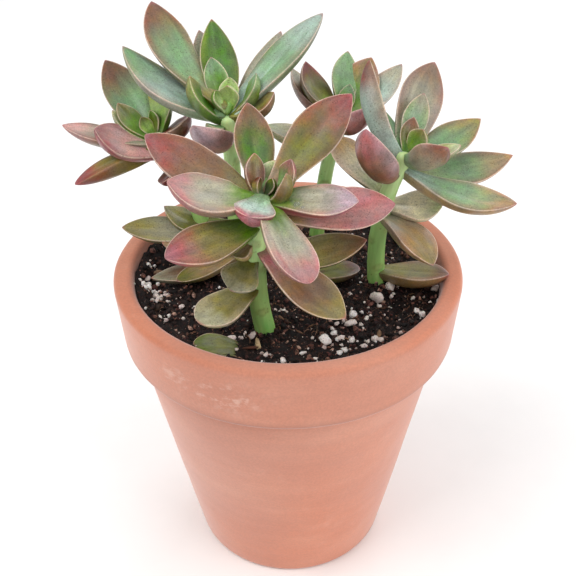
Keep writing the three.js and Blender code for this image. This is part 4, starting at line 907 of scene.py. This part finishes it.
# ------------------------------------------------------------------ soil
def soil_height(x, y):
    r, a = np.hypot(x, y), np.arctan2(y, x)
    z = 100 + 0.7 * (1 - (r / 47) ** 2) + 0.45 * np.sin(r * 0.29 + 2.1 * np.cos(a)) * np.sin(3 * a + r * 0.11)
    z = z + 0.3 * np.sin(5 * a + 1.3) * np.sin(r * 0.21 + 0.6) + 0.22 * np.sin(7 * a + r * 0.4)
    z = z + 2.2 * (fractal(x * 0.30 + 40, y * 0.30 + 7, 3.0, 3) - 0.5) + 1.5 * (fractal(x * 0.95 + 4, y * 0.95, 9.0, 2) - 0.5)
    for path, *_ in SHOOTS.values():
        z = z + 1.3 * np.exp(-((x - path[0][0]) ** 2 + (y - path[0][1]) ** 2) / 26.0)
    for row in LEAVES:
        if row[1].startswith("fallen"):
            q = 0.2 * np.array(row[2][:2], float) + 0.42 * np.array(row[3][:2], float) + 0.38 * np.array(row[4][:2], float)
            z = z - 1.3 * np.exp(-((x - q[0]) ** 2 + (y - q[1]) ** 2) / 45.0)
    return z + 1.5 * smooth(37, 47, r) + 2.6 * smooth(42.0, 46.0, r) * smooth(-8, -34, x)


def make_soil():
    edge = inner_radius(99.4) + 0.15
    rings, seg = 104, 230
    r = np.linspace(0.6, edge, rings)[:, None]
    a = 2 * np.pi * np.arange(seg)[None] / seg
    x, y = r * np.cos(a), r * np.sin(a)
    z = soil_height(x, y) + 0.8 * (vnoise(x * 2.3, y * 2.3, 5.0) - 0.5)
    top = np.stack([x, y, z], axis=-1)
    side = [np.stack([rr * np.cos(a[0]), rr * np.sin(a[0]), np.full(seg, zz)], axis=-1) for rr, zz in ((inner_radius(90) - 0.2, 90.0), (INNER_FOOT - 0.3, 8.0), (INNER_FOOT - 2.2, 6.3))]
    pts = np.concatenate([top] + [s[None] for s in side])
    n = len(pts)
    verts = np.vstack([pts.reshape(-1, 3), [0, 0, float(soil_height(np.array(0.0), np.array(0.0)))], [0, 0, 6.3]])
    faces = ring_faces(n, seg, n * seg, n * seg + 1, SOIL_FLIP)
    return place(add_mesh("soil_peat", verts, faces, PEAT), "soil", "soil")


SOIL_FLIP = False
make_soil()


def lump_template(level):
    import bmesh
    bm = bmesh.new()
    bmesh.ops.create_icosphere(bm, subdivisions=level, radius=1.0)
    v = np.array([p.co[:] for p in bm.verts])
    f = [tuple(q.index for q in face.verts) for face in bm.faces]
    bm.free()
    return v, f


def scatter(name, places, material, slot, level, rough):
    """Many small irregular lumps in one mesh: places holds (x, y, z, sx, sy, sz, tint, seed)."""
    base, f0 = lump_template(level)
    V, F, C = [], [], []
    k = 0
    for x, y, z, sx, sy, sz, tint, seed in places:
        rnd = random.Random(seed)
        q = Matrix.Rotation(rnd.random() * 6.28, 3, "Z") @ Matrix.Rotation((rnd.random() - 0.5) * 1.6, 3, "X") @ Matrix.Rotation((rnd.random() - 0.5) * 1.6, 3, "Y")
        s = (seed * 0.618) % 50
        amount = 1 + rough * (vnoise(base[:, 0] * 1.5 + s, base[:, 1] * 1.5 - s, base[:, 2] * 1.5 + 2 * s) - 0.5) * 2
        # a few flat facets, as broken grains have
        p = base * amount[:, None]
        for _ in range(3):
            nrm = unit([rnd.gauss(0, 1), rnd.gauss(0, 1), rnd.gauss(0, 1)])
            lim = 0.55 + 0.25 * rnd.random()
            d = p @ nrm
            p = p - np.outer(np.clip(d - lim, 0, None), nrm) * 0.8
        p = p * np.array([sx, sy, sz])
        p = p @ np.array(q).T + np.array([x, y, z])
        V.append(p)
        C.append(np.tile(np.asarray(tint, float), (len(base), 1)))
        F += [tuple(i + k for i in face) for face in f0]
        k += len(base)
    ob = add_mesh(name, np.vstack(V), F, material, np.vstack(C))
    return place(ob, slot)


def on_soil(x, y):
    return float(soil_height(np.array(x), np.array(y)))


def covered(x, y):
    """True under the two leaves that lie on the soil."""
    for row in LEAVES:
        if row[1].startswith("fallen"):
            a, m, b = (np.array(v, float)[:2] for v in row[2:5])
            for t in (0.1, 0.2, 0.3, 0.4, 0.5, 0.6, 0.7, 0.8):
                q = (1 - t) ** 2 * a + 2 * t * (1 - t) * m + t * t * b
                if math.hypot(x - q[0], y - q[1]) < 0.52 * row[6]:
                    return True
    return False


def crumbs():
    rnd = random.Random(7)
    tones = [linear(h) for h in ("120909", "1f100e", "311b17", "492b25", "0d0707", "6d4a3e", "9c7b6d")]
    weight = [4, 5, 6, 5, 3, 4, 2]
    out = []
    for i in range(5600):
        r, a = 46.6 * math.sqrt(rnd.random()), rnd.random() * 2 * math.pi
        s = min(1.35, 0.17 + rnd.expovariate(4.6))
        x, y = r * math.cos(a), r * math.sin(a)
        if math.hypot(x, y) + s > 46.9 or covered(x, y):
            continue
        out.append((x, y, on_soil(x, y) + s * 0.35, s * (0.7 + 1.1 * rnd.random()), s * (0.55 + 0.5 * rnd.random()), s * (0.5 + 0.45 * rnd.random()), rnd.choices(tones, weight)[0], 1000 + i))
    for k, (path, *_) in enumerate(SHOOTS.values()):
        for i in range(110):
            a, d, s = rnd.random() * 6.283, 2.2 + 3.6 * rnd.random(), 0.25 + 0.45 * rnd.random()
            x, y = path[0][0] + d * math.cos(a), path[0][1] + d * math.sin(a)
            out.append((x, y, on_soil(x, y) + s * 0.4, s * 1.2, s, s * 0.9, rnd.choices(tones, weight)[0], 9000 + 200 * k + i))
    scatter("soil_crumbs", out, CRUMB, "soil", 1, 0.55)


def grains():
    rnd = random.Random(11)
    out = []
    for i, (x, y, s) in enumerate(PERLITE_AT):
        t = linear(rnd.choice(("ffffff", "f4ece8", "efe4e2", "fffaf5")))
        s *= 1.18
        if x < -20 and s > 1.2:
            # broken up into a tight clump
            for j in range(11):
                b, d, w = rnd.random() * 6.28, s * 1.35 * math.sqrt(rnd.random()), s * (0.26 + 0.26 * rnd.random())
                u, v = x + d * math.cos(b), y + d * math.sin(b)
                if math.hypot(u, v) + w < 46.4:
                    out.append((u, v, on_soil(u, v) + w * 0.5, w * 1.25, w, w * 0.9, t, 7000 + 20 * i + j))
            continue
        out.append((x, y, on_soil(x, y) + s * 0.42, s * (0.9 + 0.4 * rnd.random()), s * (0.75 + 0.3 * rnd.random()), s * (0.7 + 0.3 * rnd.random()), t, 5000 + i))
        for j in range(2 if s > 1.1 else 1):
            b, d, w = rnd.random() * 6.28, s * (1.3 + 1.2 * rnd.random()), s * (0.18 + 0.3 * rnd.random())
            u, v = x + d * math.cos(b), y + d * math.sin(b)
            if math.hypot(u, v) + w < 46.4:
                out.append((u, v, on_soil(u, v) + w * 0.4, w * 1.2, w, w * 0.9, t * 0.92, 5500 + 4 * i + j))
    for i in range(330):
        r, a = 45.5 * math.sqrt(rnd.random()), rnd.random() * 2 * math.pi
        s = 0.13 + rnd.expovariate(6.5 if a > math.pi else 3.6)
        s = min(s, 0.9 if rnd.random() < 0.9 else 1.6)
        x, y = r * math.cos(a), r * math.sin(a)
        t = linear(rnd.choice(("ffffff", "e9dcd6", "c9b7b2", "b29e99")))
        out.append((x, y, on_soil(x, y) + s * 0.3, s, s * 0.85, s * 0.8, t, 6000 + i))
    scatter("soil_perlite", out, PERLITE, "soil", 2, 0.62)


def fibres():
    rnd = random.Random(23)
    V, F, C = [], [], []
    k = 0
    tones = [linear(h) for h in ("3a2519", "5a3c29", "7b5a42", "93705a", "241610")]
    for i in range(330):
        r, a = 45 * math.sqrt(rnd.random()), rnd.random() * 2 * math.pi
        x, y = r * math.cos(a), r * math.sin(a)
        length = 1.6 + rnd.expovariate(0.45)
        length = min(length, 9)
        turn, dirn = rnd.gauss(0, 0.25), rnd.random() * 2 * math.pi
        rad = 0.05 + 0.09 * rnd.random()
        arch = 0.25 + rnd.random() * 0.9
        steps, sides = 9, 5
        pts = []
        for s in range(steps + 1):
            w = s / steps
            if math.hypot(x, y) > 46.2:
                x, y = x * 46.0 / math.hypot(x, y), y * 46.0 / math.hypot(x, y)
            pts.append((x, y, on_soil(x, y) + 0.12 + arch * math.sin(math.pi * w)))
            x += math.cos(dirn) * length / steps
            y += math.sin(dirn) * length / steps
            dirn += turn
        P = np.array(pts)
        d = np.gradient(P, axis=0)
        d /= np.maximum(np.linalg.norm(d, axis=1), 1e-6)[:, None]
        s1 = np.cross(d, [0.03, 0.01, 1.0])
        s1 /= np.maximum(np.linalg.norm(s1, axis=1), 1e-6)[:, None]
        s2 = np.cross(d, s1)
        thin = (0.35 + 0.65 * np.sin(np.pi * np.linspace(0.06, 0.94, steps + 1))) * rad
        an = 2 * np.pi * np.arange(sides) / sides
        ring = P[:, None] + thin[:, None, None] * (np.cos(an)[None, :, None] * s1[:, None] + np.sin(an)[None, :, None] * s2[:, None])
        V.append(np.vstack([ring.reshape(-1, 3), P[0] - d[0] * 0.08, P[-1] + d[-1] * 0.08]))
        n = steps + 1
        F += [tuple(q + k for q in f) for f in ring_faces(n, sides, n * sides, n * sides + 1, FIBRE_FLIP)]
        m = n * sides + 2
        k += m
        C.append(np.tile(rnd.choice(tones), (m, 1)))
    place(add_mesh("soil_fibres", np.vstack(V), F, CRUMB, np.vstack(C)), "soil")


def chips():
    rnd = random.Random(31)
    out = []
    for i, (x, y, a, b, c, tone) in enumerate(CHIPS_AT):
        out.append((x, y, on_soil(x, y) + c * 0.8, a, b, c, linear(tone), 9000 + i))
    for i in range(26):
        r, an = 45 * math.sqrt(rnd.random()), rnd.random() * 2 * math.pi
        s = 0.9 + rnd.random() * 1.6
        x, y = r * math.cos(an), r * math.sin(an)
        out.append((x, y, on_soil(x, y) + 0.25, s, s * 0.38, s * 0.22, linear(rnd.choice(("5b3f2d", "7a5a44", "3a261a", "95755c"))), 9100 + i))
    scatter("soil_bark", out, BARK, "soil", 2, 0.3)


PERLITE_AT = [
    (31.3, -6.1, 1.28), (44.9, -7.9, 1.27), (26.9, -11.4, 1.68), (18.9, -9.0, 0.56), (22.5, -2.9, 0.43), (22.9, -13.2, 0.42),
    (19.2, -19.0, 1.23), (23.2, -19.9, 0.95), (18.1, -24.0, 1.08), (14.2, -22.9, 0.68), (12.7, -26.2, 0.53), (10.4, -31.6, 1.71),
    (14.9, -31.1, 0.92), (15.0, -33.6, 0.52), (17.9, -31.6, 0.92), (21.3, -34.4, 0.78), (22.6, -32.4, 0.66), (24.8, -30.9, 1.05),
    (26.4, -31.3, 0.79), (14.0, -38.9, 0.77), (15.7, -35.9, 0.91), (3.7, -36.1, 0.65), (7.5, -39.6, 0.51), (1.3, -39.6, 0.38),
    (-1.4, -16.5, 0.69), (37.8, -19.9, 0.82), (39.4, -21.4, 1.09), (45.2, -13.4, 0.70), (37.9, -11.3, 0.70), (6.8, -30.1, 0.53),
    (28.5, -19.2, 0.27), (21.8, -25.5, 0.40), (23.2, -0.2, 0.43), (34.0, -4.8, 0.43), (-1.6, -41.4, 0.76), (-45.1, 7.8, 1.78),
    (-49.6, 6.5, 0.74), (-45.5, 12.1, 1.20), (-45.1, 18.0, 0.76), (-43.7, -2.2, 0.86), (-45.1, -5.7, 1.14), (-42.0, -5.8, 1.57),
    (-40.5, -10.3, 1.12), (-38.5, -6.9, 1.13), (-47.3, -7.5, 0.57), (-31.9, -15.2, 0.83), (-36.5, -12.0, 0.56), (-35.8, -18.2, 0.55),
    (-37.9, -20.4, 0.54), (-36.2, -21.5, 0.54), (-42.0, -19.8, 0.41), (-31.1, -20.6, 0.54), (-28.3, -14.5, 0.42), (-16.4, -28.8, 1.19),
    (-10.4, -28.6, 1.06), (-12.6, -27.1, 0.53), (-5.4, -27.1, 0.40), (-1.3, -16.7, 0.55), (4.0, -36.0, 0.65), (1.2, -39.5, 0.38),
    (-1.7, -41.3, 0.76), (-7.4, -41.5, 0.38), (-21.3, -5.6, 0.43), (-6.4, -37.8, 0.77),
]
CHIPS_AT = [
    (-8.6, -33.6, 2.4, 1.0, 0.8, 'c9ab86'),
    (-10.6, -34.9, 2.6, 0.6, 0.5, '5b3526'),
    (40.0, -12.0, 1.6, 0.4, 0.3, 'b98a72'),
    (3.3, -26.8, 1.4, 0.4, 0.3, '7a5a44'),
    (20.6, -11.7, 1.2, 0.4, 0.3, '6a4a38'),
]
FIBRE_FLIP = False
crumbs()
grains()
fibres()
chips()


# ------------------------------------------------------------------ water drops on one leaf
def drops():
    row = next(r for r in LEAVES if r[0] == "A3")
    index = [r[0] for r in LEAVES].index("A3")
    seed = 1.37 * index + 0.61
    V, F = [], []
    k = 0
    for t0, ang0, rad in DROPS_AT:
        t = np.array([t0, t0 + 0.02])
        a = np.array([math.radians(ang0), math.radians(ang0 + 4)])
        p, *_ = leaf_surface(row, t, a, seed)
        c = p[0, 0]
        e1 = unit(p[1, 0] - c)
        nrm = unit(np.cross(e1, p[0, 1] - c))
        up = leaf_frame(row, t)[3][0]
        if nrm @ up < 0:
            nrm = -nrm
        e1 = unit(e1 - nrm * (e1 @ nrm))
        e2 = np.cross(nrm, e1)
        rings, sides = 9, 24
        an = 2 * np.pi * np.arange(sides) / sides
        pts = []
        for i in range(rings):
            w = i / rings * math.pi / 2
            q = rad * math.cos(w) * (1 + 0.06 * np.sin(2 * an + t0 * 40))
            pts.append(c + q[:, None] * (np.cos(an)[:, None] * e1 + np.sin(an)[:, None] * e2) + nrm * (rad * 0.42 * math.sin(w) - 0.05))
        P = np.vstack(pts + [(c - nrm * 0.12)[None], (c + nrm * (rad * 0.42 - 0.05))[None]])
        V.append(P)
        F += [tuple(q + k for q in f) for f in ring_faces(rings, sides, rings * sides, rings * sides + 1, True)]
        k += len(P)
    place(add_mesh("dew_drops", np.vstack(V), F, WATER), "leaf")


DROPS_AT = [(0.30, 62, 0.95), (0.37, 48, 0.62), (0.24, 75, 0.5), (0.33, 84, 0.42), (0.42, 66, 0.36), (0.28, 45, 0.4)]
drops()


# every closed piece faces outwards
def volume(me):
    me.calc_loop_triangles()
    co = np.empty(len(me.vertices) * 3)
    me.vertices.foreach_get("co", co)
    tri = np.empty(len(me.loop_triangles) * 3, int)
    me.loop_triangles.foreach_get("vertices", tri)
    p = co.reshape(-1, 3)[tri.reshape(-1, 3)]
    return float(np.einsum("ij,ij->i", p[:, 0], np.cross(p[:, 1], p[:, 2])).sum() / 6)


for ob in list(scene.objects):
    if ob.type == "MESH" and ob.name not in frame["nodes"] and volume(ob.data) < 0:
        print("turned faces:", ob.name)
        ob.data.flip_normals()

# ------------------------------------------------------------------ floor and light
def floor():
    n, size = 24, 2.4
    verts = [((i / n - 0.5) * size * 1000, (j / n - 0.42) * size * 1000, 0.0) for i in range(n + 1) for j in range(n + 1)]
    faces = [(i * (n + 1) + j, (i + 1) * (n + 1) + j, (i + 1) * (n + 1) + j + 1, i * (n + 1) + j + 1) for i in range(n) for j in range(n)]
    add_mesh("floor", verts, faces, PAPER)


def lamp(name, at, target, size, power, color=(1, 1, 1)):
    data = bpy.data.lights.new(name, "AREA")
    data.shape = "RECTANGLE"
    data.size, data.size_y = size
    data.energy = power
    data.color = color
    ob = bpy.data.objects.new(name, data)
    ob.location = at
    ob.rotation_euler = (Vector(target) - Vector(at)).to_track_quat("-Z", "Y").to_euler()
    scene.collection.objects.link(ob)


floor()
KEY, BACK, FILL, TOP, WORLD = 8.5, 5.0, 7.5, 5.5, 0.43
centre = (0, 0, 0.11)
lamp("key", (-0.75, -0.35, 1.05), centre, (0.9, 0.9), KEY, (1.0, 0.99, 0.97))
lamp("back", (0.55, 0.85, 0.85), centre, (1.0, 0.7), BACK, (0.97, 0.985, 1.0))
lamp("top", (-0.15, 0.05, 1.35), centre, (1.5, 1.5), TOP, (1.0, 1.0, 1.0))
lamp("fill", (0.95, -0.55, 0.60), centre, (0.9, 0.9), FILL, (1.0, 0.99, 0.98))
world = bpy.data.worlds.new("studio")
world.use_nodes = True
sky = next(n for n in world.node_tree.nodes if n.type == "BACKGROUND")
sky.inputs["Color"].default_value = (1.0, 1.0, 1.0, 1)
sky.inputs["Strength"].default_value = WORLD
scene.world = world
scene.view_settings.view_transform = "Standard"
